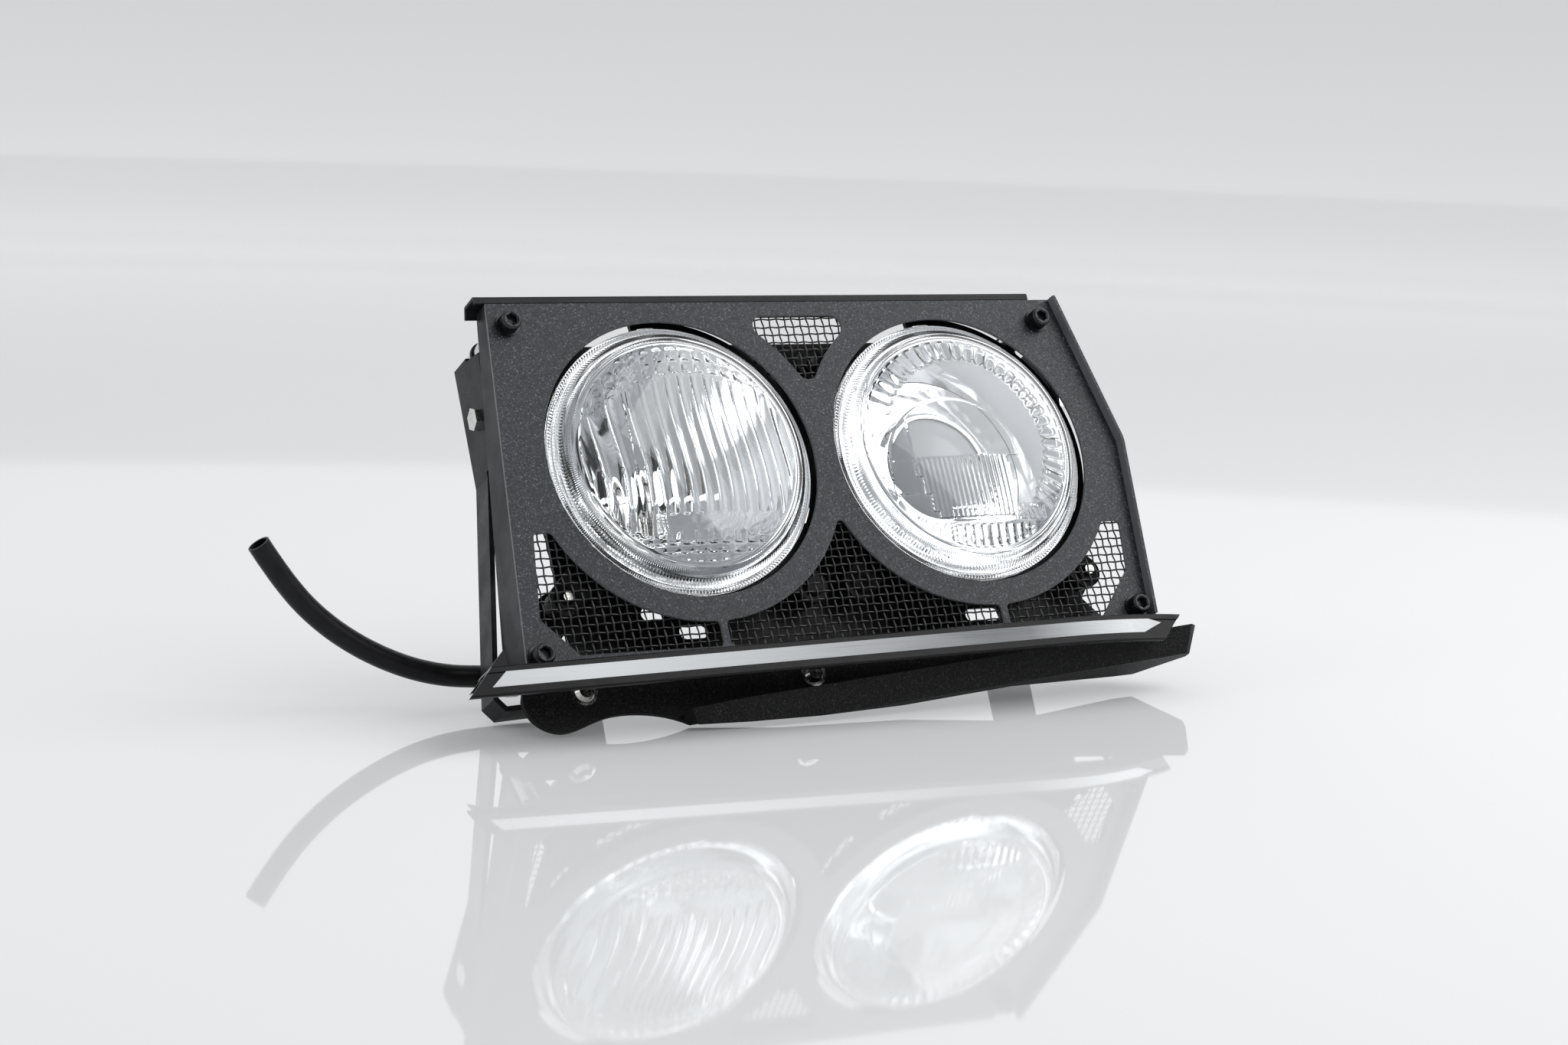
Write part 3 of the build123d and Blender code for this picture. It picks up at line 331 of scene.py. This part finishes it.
# ---- mesh helpers ----
def mesh_from(name, vertices, faces):
    """A mesh whose faces all point out of it."""
    mesh = bpy.data.meshes.new(name)
    mesh.from_pydata([tuple(v) for v in vertices], [], faces)
    mesh.validate()
    work = bmesh.new()
    work.from_mesh(mesh)
    bmesh.ops.recalc_face_normals(work, faces=work.faces)
    work.to_mesh(mesh)
    work.free()
    return mesh


def piece(name, vertices, faces, body, slot, stands_for, sharp=35):
    """A new mesh that rides on a body, takes a slot's finish and stands for CAD nodes."""
    mesh = mesh_from(name, vertices, faces)
    mesh.shade_smooth()
    mesh.set_sharp_from_angle(angle=math.radians(sharp))
    mesh.materials.append(LOOKS[slot])
    obj = bpy.data.objects.new(name, mesh)
    bpy.context.scene.collection.objects.link(obj)
    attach(obj, body)
    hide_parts(*stands_for)
    return obj


class Rings:
    """Rings of points joined by faces: each next ring is joined to the one before it."""

    def __init__(self):
        self.vertices = []
        self.faces = []
        self.open = None

    def ring(self, points):
        start = len(self.vertices)
        self.vertices.extend(points)
        fresh = list(range(start, len(self.vertices)))
        if self.open:
            self.join(self.open, fresh)
        self.open = fresh
        return fresh

    def join(self, a, b):
        """Faces between two rings; one may have several times as many points as the other."""
        if len(a) > len(b):
            self.join_coarser(a, b)
            return
        ratio, count = len(b) // len(a), len(b)
        for k in range(len(a)):
            fine = [b[(k * ratio + step) % count] for step in range(ratio, -1, -1)]
            self.faces.append([a[k], a[(k + 1) % len(a)]] + fine)

    def join_coarser(self, a, b):
        ratio, count = len(a) // len(b), len(a)
        for k in range(len(b)):
            fine = [a[(k * ratio + step) % count] for step in range(ratio + 1)]
            self.faces.append(fine + [b[(k + 1) % len(b)], b[k]])

    def cap(self, point):
        """Closes the last ring with a fan about a point."""
        self.vertices.append(point)
        tip = len(self.vertices) - 1
        count = len(self.open)
        for k in range(count):
            self.faces.append([self.open[k], self.open[(k + 1) % count], tip])

    def start(self, point, points):
        """Opens with a fan from a point to the first ring."""
        self.vertices.append(point)
        tip = len(self.vertices) - 1
        self.ring(points)
        count = len(self.open)
        for k in range(count):
            self.faces.append([tip, self.open[(k + 1) % count], self.open[k]])


def circle(cx, cy, radius, z, count, radius_of=None, z_of=None):
    """Points round a circle in the panel's frame; radius and depth may vary with the angle."""
    points = []
    for k in range(count):
        turn = FULL_TURN * k / count
        r = radius_of(turn, radius) if radius_of else radius
        x, y = r * math.cos(turn), r * math.sin(turn)
        depth = z_of(x, y, z) if z_of else z
        points.append(at(cx + x, cy + y, depth))
    return points


def lathe(name, profile, cx, cy, body, slot, stands_for, count=128, sharp=35):
    """A closed solid of revolution: the ends of its (radius, z) profile are on the axis or joined."""
    shape = Rings()
    rim = [p for p in profile if p[0] > 0]
    if profile[0][0] == 0:
        shape.start(at(cx, cy, profile[0][1]), circle(cx, cy, rim[0][0], rim[0][1], count))
        rest = rim[1:]
    else:
        rest = rim
    first = None
    for r, z in rest:
        made = shape.ring(circle(cx, cy, r, z, count))
        first = first or made
    if profile[-1][0] == 0:
        shape.cap(at(cx, cy, profile[-1][1]))
    else:
        shape.join(shape.open, first)
    return piece(name, shape.vertices, shape.faces, body, slot, stands_for, sharp)


# ---- woven wire screens ----
LAMP_X, RING_R = 76.0, 82.2
PANEL_T, MESH_HALF = 1.6, 0.85
MESH_Z = -PANEL_T - MESH_HALF
PITCH, WIRE_R, WIRE_SIDES = 4.15, 0.43, 6
CRIMP, WANDER = 0.42, 0.12
WEAVE_TURN, WEAVE_DROP = math.radians(0.9), 3.0
WEAVE_REACH, PITCH_STEPS = 60, 6
SHORTEST_RUN = 3
LAP = 1.25
RIB_LEFT, RIB_RIGHT, RIB_HALF = -73.0, 79.0, 1.7
WINDOW_BOTTOM = -95.0
WINDOWS = {
    "upper": [(-40, 72.6), (40, 72.6), (0, 20)],
    "lower_left": [
        (-159.6, -35),
        (-140, -35),
        (RIB_LEFT - RIB_HALF, -70),
        (RIB_LEFT - RIB_HALF, WINDOW_BOTTOM),
        (-147.6, WINDOW_BOTTOM),
        (-164.2, -77),
    ],
    "lower_centre": [
        (RIB_LEFT + RIB_HALF, -60),
        (0, -20),
        (RIB_RIGHT - RIB_HALF, -60),
        (RIB_RIGHT - RIB_HALF, WINDOW_BOTTOM),
        (RIB_LEFT + RIB_HALF, WINDOW_BOTTOM),
    ],
    "lower_right": [
        (RIB_RIGHT + RIB_HALF, -70),
        (140, -41.6),
        (157.2, -41.6),
        (154.8, -67.6),
        (131.5, WINDOW_BOTTOM),
        (RIB_RIGHT + RIB_HALF, WINDOW_BOTTOM),
    ],
}


def behind_window(x, y, polygon):
    """True where a point lies in a window, or less than the lap outside it."""
    if min(math.hypot(x + LAMP_X, y), math.hypot(x - LAMP_X, y)) < RING_R - LAP:
        return False
    inside = False
    near = math.inf
    for (ax, ay), (bx, by) in zip(polygon, polygon[1:] + polygon[:1]):
        if (ay > y) != (by > y) and x < ax + (bx - ax) * (y - ay) / (by - ay):
            inside = not inside
        length2 = (bx - ax) ** 2 + (by - ay) ** 2
        share = max(0, min(1, ((x - ax) * (bx - ax) + (y - ay) * (by - ay)) / length2))
        near = min(near, math.hypot(x - ax - share * (bx - ax), y - ay - share * (by - ay)))
    return inside or near < LAP


def add_wire(vertices, faces, line):
    """One crimped wire: a six-sided tube along a line of panel-frame points, with closed ends."""
    sides = WIRE_SIDES
    start = len(vertices)
    for index, (x, y, z) in enumerate(line):
        ahead = Vector(line[min(index + 1, len(line) - 1)]) - Vector(line[max(index - 1, 0)])
        ahead.normalize()
        aside = ahead.cross(Vector((0, 0, 1))).normalized()
        over = aside.cross(ahead)
        for k in range(sides):
            turn = FULL_TURN * k / sides
            offset = aside * math.cos(turn) * WIRE_R + over * math.sin(turn) * WIRE_R
            vertices.append(at(x + offset.x, y + offset.y, z + offset.z))
    for index in range(len(line) - 1):
        a = start + index * sides
        b = a + sides
        for k in range(sides):
            n = (k + 1) % sides
            faces.append([a + k, a + n, b + n, b + k])
    faces.append([start + k for k in range(sides - 1, -1, -1)])
    last = start + (len(line) - 1) * sides
    faces.append([last + k for k in range(sides)])


def wire_point(along_x, wire, sample):
    """A point of one wire: its wave passes over one crossing wire and under the next."""
    u, v = sample * PITCH / PITCH_STEPS, wire * PITCH
    wave = CRIMP * math.cos(math.pi * (sample / PITCH_STEPS + wire)) * (1 if along_x else -1)
    wander = WANDER * math.sin(wire * 2.3 + sample * 0.11)
    px, py = (u, v + wander) if along_x else (v + wander, u)
    x = px * math.cos(WEAVE_TURN) - py * math.sin(WEAVE_TURN)
    y = px * math.sin(WEAVE_TURN) + py * math.cos(WEAVE_TURN) - WEAVE_DROP
    return x, y, MESH_Z + wave


def screen(name, polygon):
    """Woven wires behind one window, cut off past its lap."""
    vertices, faces = [], []
    last_sample = WEAVE_REACH * PITCH_STEPS
    for along_x in (True, False):
        for wire in range(-WEAVE_REACH, WEAVE_REACH):
            run = []
            for sample in range(-last_sample, last_sample + 1):
                x, y, z = wire_point(along_x, wire, sample)
                if behind_window(x, y, polygon):
                    run.append((x, y, z))
                    continue
                if len(run) >= SHORTEST_RUN:
                    add_wire(vertices, faces, run)
                run = []
            if len(run) >= SHORTEST_RUN:
                add_wire(vertices, faces, run)
    stands_for = [f"mesh_{name}"]
    piece(f"screen_{name}", vertices, faces, "housing", "mesh_wire", stands_for, sharp=60)


for window_name, window_polygon in WINDOWS.items():
    screen(window_name, window_polygon)

# ---- lamp glasses ----
LENS_R, RIM_R, LENS_BACK, RIM_Z, APEX = 67.8, 57.6, -6.5, 7.0, 14.5
GLASS_T, INNER_R = 3.0, 55.0
SPHERE = (RIM_R**2 + (APEX - RIM_Z) ** 2) / (2 * (APEX - RIM_Z))
BAND_SIDES, GLASS_SIDES = 1440, 360
DOME_RINGS, INNER_RINGS = 26, 100
BAND_TOP, BAND_FOOT = (58.6, 6.15), (66.0, -2.2)
BAND_LEAN = 0.12
PATTERN_FADE = 1.2


def dome(r):
    """The height of the glass's front at a distance from its axis."""
    return APEX - SPHERE + math.sqrt(SPHERE**2 - r**2)


def smooth(x, low, high):
    """0 below low, 1 above high, eased between."""
    share = max(0.0, min(1.0, (x - low) / (high - low)))
    return share * share * (3 - 2 * share)


def flute(u, pitch):
    """A cylindrical flute: 0 at its edges and 1 in its middle."""
    share = (u / pitch) % 1.0
    return 1 - (2 * share - 1) ** 2


def within(x, y, box):
    left, right, low, top = box
    return left < x < right and low < y < top


FLUTE, WIDE_FLUTE, WIDE_FROM = 6.8, 9.5, -30
PILLOW = 6.5
EDGE_EASE = 0.3
LEFT_PLAQUE = (-24, 40, -40.5, -32.0)


def left_relief(x, y):
    """How far the moulded pattern stands off the inside of the left glass."""
    bow = x + 1.6 * math.sin(y * 0.075)
    # The bowed, scalloped edges between the flutes and the pillows above and the waves below.
    edge_top = 37.0 - 0.0065 * (x - 6) ** 2 + 2.2 * flute(bow + FLUTE / 2, FLUTE)
    edge_low = -43.5 + 0.004 * x * x - 1.8 * flute(bow, FLUTE)
    strong = 0.85 + 0.7 * smooth(-x, 18, 34)
    flutes = strong * flute(bow, FLUTE if x > WIDE_FROM else WIDE_FLUTE)
    pillows = 1.1 * flute(bow + FLUTE / 2, FLUTE) * flute(y - edge_top, PILLOW)
    waves = 1.3 * flute(bow, FLUTE) * (0.5 + 0.5 * math.sin(y * 1.5))
    top = smooth(y, edge_top - EDGE_EASE, edge_top + EDGE_EASE)
    low = smooth(-y, -edge_low - EDGE_EASE, -edge_low + EDGE_EASE)
    relief = flutes * (1 - top) + (pillows + 0.4) * top
    relief = relief * (1 - low) + waves * low
    if within(x, y, LEFT_PLAQUE):
        stipple = 0.3 * math.sin(x * 5.1) * math.sin(y * 4.7 + x)
        relief = 0.5 + stipple
    return relief


RIB_RING, RIB_PITCH = 50, 6.4
PATCH_LEFT, PATCH_RIGHT, PATCH_TOP, PATCH_LOW = -34, 17, -9, -39
PATCH_STEP_X, PATCH_STEP_Y = 3, 9
PATCH_FLUTE, LOW_FLUTE = 2.6, 4.6
WEDGE_LEFT, WEDGE_LOW = -46, -26
DOME_X, DOME_R, DOME_STRETCH = -11, 31, 1.12
RIGHT_PLAQUE = (-18, 34, -41, -34.5)
LOW_FLUTES = (-20, 26, -INNER_R, -43)


def right_relief(x, y):
    """How far the moulded pattern stands off the inside of the right glass."""
    r = math.hypot(x, y)
    angle = math.atan2(y, x)
    relief = 0.0
    # Ribs round the upper edge.
    around = smooth(math.sin(angle + 0.5), -0.35, 0.1)
    rib_wave = flute(angle * RIB_RING, RIB_PITCH)
    rib_edge = 46.5 - 3.2 * rib_wave - 2.5 * smooth(math.cos(angle), 0.2, 1.0)
    rib = smooth(r, rib_edge - 0.4, rib_edge + 0.4) * around
    relief += rib * (0.6 + 0.9 * rib_wave)
    # A fluted patch with a stepped left edge, and the wedge beside it.
    patch_left = PATCH_LEFT + PATCH_STEP_X * math.floor((PATCH_TOP - y) / PATCH_STEP_Y)
    if patch_left < x < PATCH_RIGHT and PATCH_LOW < y < PATCH_TOP:
        relief += 0.55 * flute(x + 0.06 * y, PATCH_FLUTE) + 0.35
    if WEDGE_LEFT < x <= PATCH_LEFT and WEDGE_LOW < y < 32 + 0.6 * x:
        relief += 0.8 * smooth(-x, -PATCH_LEFT, -WEDGE_LEFT) + 0.3
    # The raised dome that stands on the patch.
    dome_r = math.hypot((x - DOME_X) / DOME_STRETCH, y - PATCH_TOP)
    if dome_r < DOME_R and y >= PATCH_TOP:
        relief += 0.4 * smooth(DOME_R - dome_r, 0, 0.8)
    # The stippled plaque, and the flutes below it.
    if within(x, y, RIGHT_PLAQUE):
        relief += 0.4 + 0.25 * math.sin(x * 4.1) * math.sin(y * 3.7)
    if within(x, y, LOW_FLUTES):
        relief += 1.1 * flute(x, LOW_FLUTE)
    return relief


# (radius, z) of the ring round the dome.
DOME_RING = [(57.95, 6.25), (58.5, 6.3)]
# Rows of the toothed band: the share of the way down its slope, the teeth round it, their depth.
BAND_ROWS = [
    (0.03, 0, 0),
    (0.07, 360, 0.0),
    (0.11, 360, 0.5),
    (0.36, 360, 0.5),
    (0.40, 360, 0.0),
    (0.45, 0, 0),
    (0.50, 240, 0.0),
    (0.55, 240, 0.85),
    (0.88, 240, 0.85),
    (0.93, 240, 0.0),
    (0.97, 0, 0),
]
# (radius, z) of the glass's foot, from the band round the back edge to the inside.
GLASS_FOOT = [
    (66.3, -2.5),
    (67.3, -2.9),
    (LENS_R, -3.5),
    (LENS_R, -6.1),
    (67.5, LENS_BACK),
    (62.9, LENS_BACK),
    (62.5, -6.2),
    (60.0, -2.0),
    (57.0, 3.4),
    (INNER_R + 0.6, dome(INNER_R) - GLASS_T - 0.2),
]


def toothed(share, teeth, depth):
    """The radius of a band row at each angle."""
    def cut(turn, radius):
        if not teeth:
            return radius
        return radius - depth * (0.5 + 0.5 * math.cos(teeth * (turn + BAND_LEAN * share)))
    return cut


def inner_sides(r):
    """Fewer points round the small rings near the axis."""
    if r > 12:
        return GLASS_SIDES
    return 120 if r > 3 else 60


def lamp_glass(side, cx, relief):
    """One closed glass: domed front, front ring, toothed band, back edge and patterned inside."""
    shape = Rings()
    radii = [RIM_R * (k / DOME_RINGS) for k in range(1, DOME_RINGS + 1)]
    shape.start(at(cx, 0, APEX), circle(cx, 0, radii[0], dome(radii[0]), GLASS_SIDES))
    for r in radii[1:]:
        shape.ring(circle(cx, 0, r, dome(r), GLASS_SIDES))
    for r, z in DOME_RING:
        shape.ring(circle(cx, 0, r, z, GLASS_SIDES))
    for share, teeth, depth in BAND_ROWS:
        r = BAND_TOP[0] + (BAND_FOOT[0] - BAND_TOP[0]) * share
        z = BAND_TOP[1] + (BAND_FOOT[1] - BAND_TOP[1]) * share
        shape.ring(circle(cx, 0, r, z, BAND_SIDES, toothed(share, teeth, depth)))
    for r, z in GLASS_FOOT:
        shape.ring(circle(cx, 0, r, z, GLASS_SIDES))

    def inside(x, y, z):
        r = math.hypot(x, y)
        return dome(r) - GLASS_T - relief(x, y) * smooth(INNER_R - r, 0, PATTERN_FADE)

    for k in range(INNER_RINGS):
        r = INNER_R * (1 - k / INNER_RINGS)
        shape.ring(circle(cx, 0, r, 0, inner_sides(r), None, inside))
    shape.cap(at(cx, 0, APEX - GLASS_T - relief(0, 0)))
    rides, stands_for = f"{side}_lamp", [f"{side}_lens"]
    glass_mesh = (shape.vertices, shape.faces)
    piece(f"{side}_glass", *glass_mesh, rides, "lamp_glass", stands_for, sharp=50)


# ---- mirror bowls ----
FOCAL, VERTEX_Z, MIRROR_T, MOUTH_Z, NECK_Z = 12.7, -80.0, 2.0, -9.5, -72.5
NECK_IN, NECK_OUT, NECK_END = 17.0, 20.5, -84.0
MOUTH_R, MOUTH_FRONT = 67.2, LENS_BACK - 0.01
BOWL_STEPS = 48


def bowl(z):
    """The paraboloid's radius at a depth."""
    return math.sqrt(4 * FOCAL * (z - VERTEX_Z))


def mirror_bowl(side, cx):
    """A paraboloid bowl with a neck for the bulb and a flat rim against the glass."""
    depths = [MOUTH_Z + (NECK_Z - MOUTH_Z) * k / BOWL_STEPS for k in range(BOWL_STEPS + 1)]
    profile = [(bowl(MOUTH_Z) + 0.02, MOUTH_FRONT)]
    profile += [(bowl(z), z) for z in depths]
    profile += [(NECK_IN, NECK_Z), (NECK_IN, NECK_END)]
    profile += [(NECK_OUT, NECK_END), (NECK_OUT, NECK_Z - MIRROR_T)]
    profile += [(bowl(z) + MIRROR_T, z - MIRROR_T) for z in reversed(depths)]
    profile += [(bowl(MOUTH_Z) + MIRROR_T, MOUTH_Z), (MOUTH_R, MOUTH_Z), (MOUTH_R, MOUTH_FRONT)]
    rides, stands_for = f"{side}_lamp", [f"{side}_reflector"]
    name, look = f"{side}_mirror", "mirror_coat"
    lathe(name, profile, cx, 0, rides, look, stands_for, count=192, sharp=30)


for lamp_side, lamp_x, pattern in (("left", -LAMP_X, left_relief), ("right", LAMP_X, right_relief)):
    lamp_glass(lamp_side, lamp_x, pattern)
    mirror_bowl(lamp_side, lamp_x)

# ---- cap screws with knurled heads and hex sockets ----
SCREWS = [(-153.0, 69.0), (137.0, 68.0), (-167.6, -95.0), (154.0, -88.0)]
HEAD_R, HEAD_FROM, HEAD_TO, SHANK_R, SHANK_END = 5.0, 1.4, 7.4, 3.0, -42.0
HEX_R, HEX_DEPTH = 2.9, 3.5
KNURLS, KNURL_SIDES, KNURL_DEPTH = 36, 144, 0.3
CHAMFER, SOCKET_TIP = 0.6, 0.5


def knurl(turn, radius):
    return radius - KNURL_DEPTH * (0.5 + 0.5 * math.cos(KNURLS * turn))


def hexagon(turn, radius):
    sector = (turn + math.pi / 6) % (math.pi / 3) - math.pi / 6
    return radius * math.cos(math.pi / 6) / math.cos(sector)


# (radius, z, form) from the end of the shank, over the head and down into the socket.
SCREW_ROWS = [
    (SHANK_R, SHANK_END + CHAMFER, None),
    (SHANK_R, HEAD_FROM, None),
    (HEAD_R - 0.4, HEAD_FROM, None),
    (HEAD_R - 0.3, HEAD_FROM + 0.3, None),
    (HEAD_R, HEAD_FROM + 0.6, knurl),
    (HEAD_R, HEAD_TO - 1.0, knurl),
    (HEAD_R - 0.35, HEAD_TO - 0.7, None),
    (HEAD_R - 0.8, HEAD_TO - 0.1, None),
    (HEAD_R - 1.0, HEAD_TO, None),
    (HEX_R + 0.5, HEAD_TO, None),
    (HEX_R + 0.2, HEAD_TO - 0.25, hexagon),
    (HEX_R, HEAD_TO - 0.5, hexagon),
    (HEX_R, HEAD_TO - HEX_DEPTH, hexagon),
]
screws = Rings()
for screw_x, screw_y in SCREWS:
    screws.open = None
    shank_end = circle(screw_x, screw_y, SHANK_R - CHAMFER, SHANK_END, KNURL_SIDES)
    screws.start(at(screw_x, screw_y, SHANK_END), shank_end)
    for r, z, form in SCREW_ROWS:
        screws.ring(circle(screw_x, screw_y, r, z, KNURL_SIDES, form))
    screws.cap(at(screw_x, screw_y, HEAD_TO - HEX_DEPTH - SOCKET_TIP))
screws_mesh = (screws.vertices, screws.faces)
piece("cap_screws", *screws_mesh, "housing", "black_screw", ["panel_screws"], sharp=30)

# ---- right lamp's optic ----
OPTIC_R, OPTIC_BACK, OPTIC_EDGE, OPTIC_APEX = 27.0, -31.0, -29.0, -16.0
OPTIC_STEPS = 24
OPTIC_RISE = OPTIC_APEX - OPTIC_EDGE
OPTIC_SPHERE = (OPTIC_R**2 + OPTIC_RISE**2) / (2 * OPTIC_RISE)
optic_profile = [(0, OPTIC_APEX)]
for step in range(1, OPTIC_STEPS + 1):
    radius = OPTIC_R * step / OPTIC_STEPS
    height = OPTIC_APEX - OPTIC_SPHERE + math.sqrt(OPTIC_SPHERE**2 - radius**2)
    optic_profile.append((radius, height))
optic_profile += [(OPTIC_R, OPTIC_BACK), (OPTIC_R - 0.4, OPTIC_BACK), (0, OPTIC_BACK)]
optic_node = ["right_projector_lens"]
optic = lathe("right_optic", optic_profile, LAMP_X, 0, "right_lamp", "lamp_glass", optic_node)
optic.data.materials[0] = frosted()

# ---- the conduit: a hollow tube along its route, in the shared frame ----
TUBE_R, BORE_R, TUBE_SIDES = 5.25, 4.2, 40
ROUTE = [
    (-128.8, 5.0, 14.3),
    (-160.8, 5.0, 14.3),
    (-187.8, 4.8, 18.8),
    (-213.8, 4.5, 29.8),
    (-236.8, 4.2, 45.3),
    (-254.8, 4.0, 64.3),
    (-267.0, 3.8, 82.8),
]
route = bpy.data.curves.new("conduit_route", "CURVE")
route.dimensions = "3D"
spline = route.splines.new("NURBS")
spline.points.add(len(ROUTE) - 1)
for point, place in zip(spline.points, ROUTE):
    point.co = (*(c * MM for c in place), 1)
spline.use_endpoint_u = True
spline.order_u = 3
spline.resolution_u = 16
route_object = bpy.data.objects.new("conduit_route", route)
bpy.context.scene.collection.objects.link(route_object)
bpy.context.view_layer.update()
line_mesh = bpy.data.meshes.new_from_object(route_object)
path = [v.co.copy() for v in line_mesh.vertices]
bpy.data.objects.remove(route_object)


def tube_ring(index, radius):
    """A ring of the tube, square to the route at one of its points."""
    ahead = (path[min(index + 1, len(path) - 1)] - path[max(index - 1, 0)]).normalized()
    aside = Vector((0, 1, 0))
    over = ahead.cross(aside).normalized()
    turns = [FULL_TURN * k / TUBE_SIDES for k in range(TUBE_SIDES)]
    across = [(aside * math.cos(t) + over * math.sin(t)) * radius * MM for t in turns]
    return [path[index] + offset for offset in across]


conduit = Rings()
first_ring = conduit.ring(tube_ring(0, TUBE_R))
for index in range(1, len(path)):
    conduit.ring(tube_ring(index, TUBE_R))
for index in reversed(range(len(path))):
    conduit.ring(tube_ring(index, BORE_R))
conduit.join(conduit.open, first_ring)
conduit_mesh = (conduit.vertices, conduit.faces)
conduit_look = "conduit_plastic"
conduit_piece = piece("wiring_conduit", *conduit_mesh, "housing", conduit_look, ["conduit"], sharp=40)

# ---- soft edges on the CAD nodes that show ----
SOFT_EDGES = {"front_panel": 0.25, "bottom_trim": 0.35, "side_walls": 0.25, "top_rail": 0.3}
for node_name, width in SOFT_EDGES.items():
    bevel = frame["nodes"][node_name].modifiers.new("soft_edges", "BEVEL")
    bevel.width = width * MM
    bevel.segments = 2
    bevel.limit_method = "ANGLE"
    bevel.angle_limit = math.radians(40)
    bevel.harden_normals = True

# ---- floor: a dish, flat in the middle, whose rim climbs into the backdrop; in metres ----
RIM_START, RIM_CURVE, RIM_TURN = 3.0, 14.0, math.radians(22)
FLOOR_SIDES, RIM_STEPS = 192, 24


def floor_ring(radius, height):
    turns = [FULL_TURN * k / FLOOR_SIDES for k in range(FLOOR_SIDES)]
    return [(radius * math.cos(t), radius * math.sin(t), height) for t in turns]


table = Rings()
table.start((0, 0, 0), floor_ring(RIM_START, 0))
for step in range(1, RIM_STEPS + 1):
    climb = RIM_TURN * step / RIM_STEPS
    reach = RIM_START + RIM_CURVE * math.sin(climb)
    table.ring(floor_ring(reach, RIM_CURVE * (1 - math.cos(climb))))
floor_mesh = mesh_from("floor", table.vertices, table.faces)
floor_mesh.shade_smooth()
floor = bpy.data.objects.new("floor", floor_mesh)
bpy.context.scene.collection.objects.link(floor)
floor_finish = Finish("studio_floor", (0.66, 0.67, 0.68), 0.035, Specular_IOR_Level=0.4)
floor_finish.set("Emission Color", (0.98, 0.99, 1.0, 1.0))
floor_finish.set("Emission Strength", 0.1)
floor_mesh.materials.append(floor_finish.material)


# ---- lights ----
def softbox(name, place, aim, width, height, watts):
    light = bpy.data.lights.new(name, "AREA")
    light.shape = "RECTANGLE"
    light.size, light.size_y, light.energy = width, height, watts
    lamp = bpy.data.objects.new(name, light)
    lamp.location = place
    lamp.rotation_euler = (Vector(aim) - Vector(place)).to_track_quat("-Z", "Y").to_euler()
    bpy.context.scene.collection.objects.link(lamp)


softbox("key_box", (1.0, -0.55, 1.2), (0.08, -0.03, 0.12), width=1.8, height=1.3, watts=18)
softbox("left_box", (-1.6, 0.1, 0.9), (0, 0, 0.1), width=0.7, height=1.2, watts=3)

# ---- world: dimmer towards the front, brighter behind the object ----
world = bpy.data.worlds.new("studio")
bpy.context.scene.world = world
world.use_nodes = True
sky = world.node_tree
coords = sky.nodes.new("ShaderNodeTexCoord")
split = sky.nodes.new("ShaderNodeSeparateXYZ")
sky.links.new(coords.outputs["Generated"], split.inputs["Vector"])
depth = sky.nodes.new("ShaderNodeMapRange")
depth.inputs["From Min"].default_value = -0.9
depth.inputs["From Max"].default_value = 0.3
depth.inputs["To Min"].default_value = 0.4
depth.inputs["To Max"].default_value = 0.85
sky.links.new(split.outputs["Y"], depth.inputs["Value"])
sky.links.new(depth.outputs["Result"], sky.nodes["Background"].inputs["Strength"])
sky.nodes["Background"].inputs["Color"].default_value = (0.98, 0.99, 1.0, 1)

# ---- camera ----
CAMERA_AT = (-0.71834, -1.35832, 0.31293)
CAMERA_LENS, SENSOR_WIDTH = 73.2, 36.0
camera_data = bpy.data.cameras.new("camera")
camera_data.sensor_width = SENSOR_WIDTH
camera_data.lens = CAMERA_LENS
camera = bpy.data.objects.new("camera", camera_data)
forward = Vector((0.4612, 0.8749, -0.1483)).normalized()
rightward = Vector((0.8865, -0.4615, 0.0342))
rightward = (rightward - forward * rightward.dot(forward)).normalized()
upward = rightward.cross(forward)
turn = Matrix((rightward, upward, -forward)).transposed()
camera.matrix_world = Matrix.Translation(CAMERA_AT) @ turn.to_4x4()
bpy.context.scene.collection.objects.link(camera)
bpy.context.scene.camera = camera
bpy.context.scene.view_settings.view_transform = "Standard"
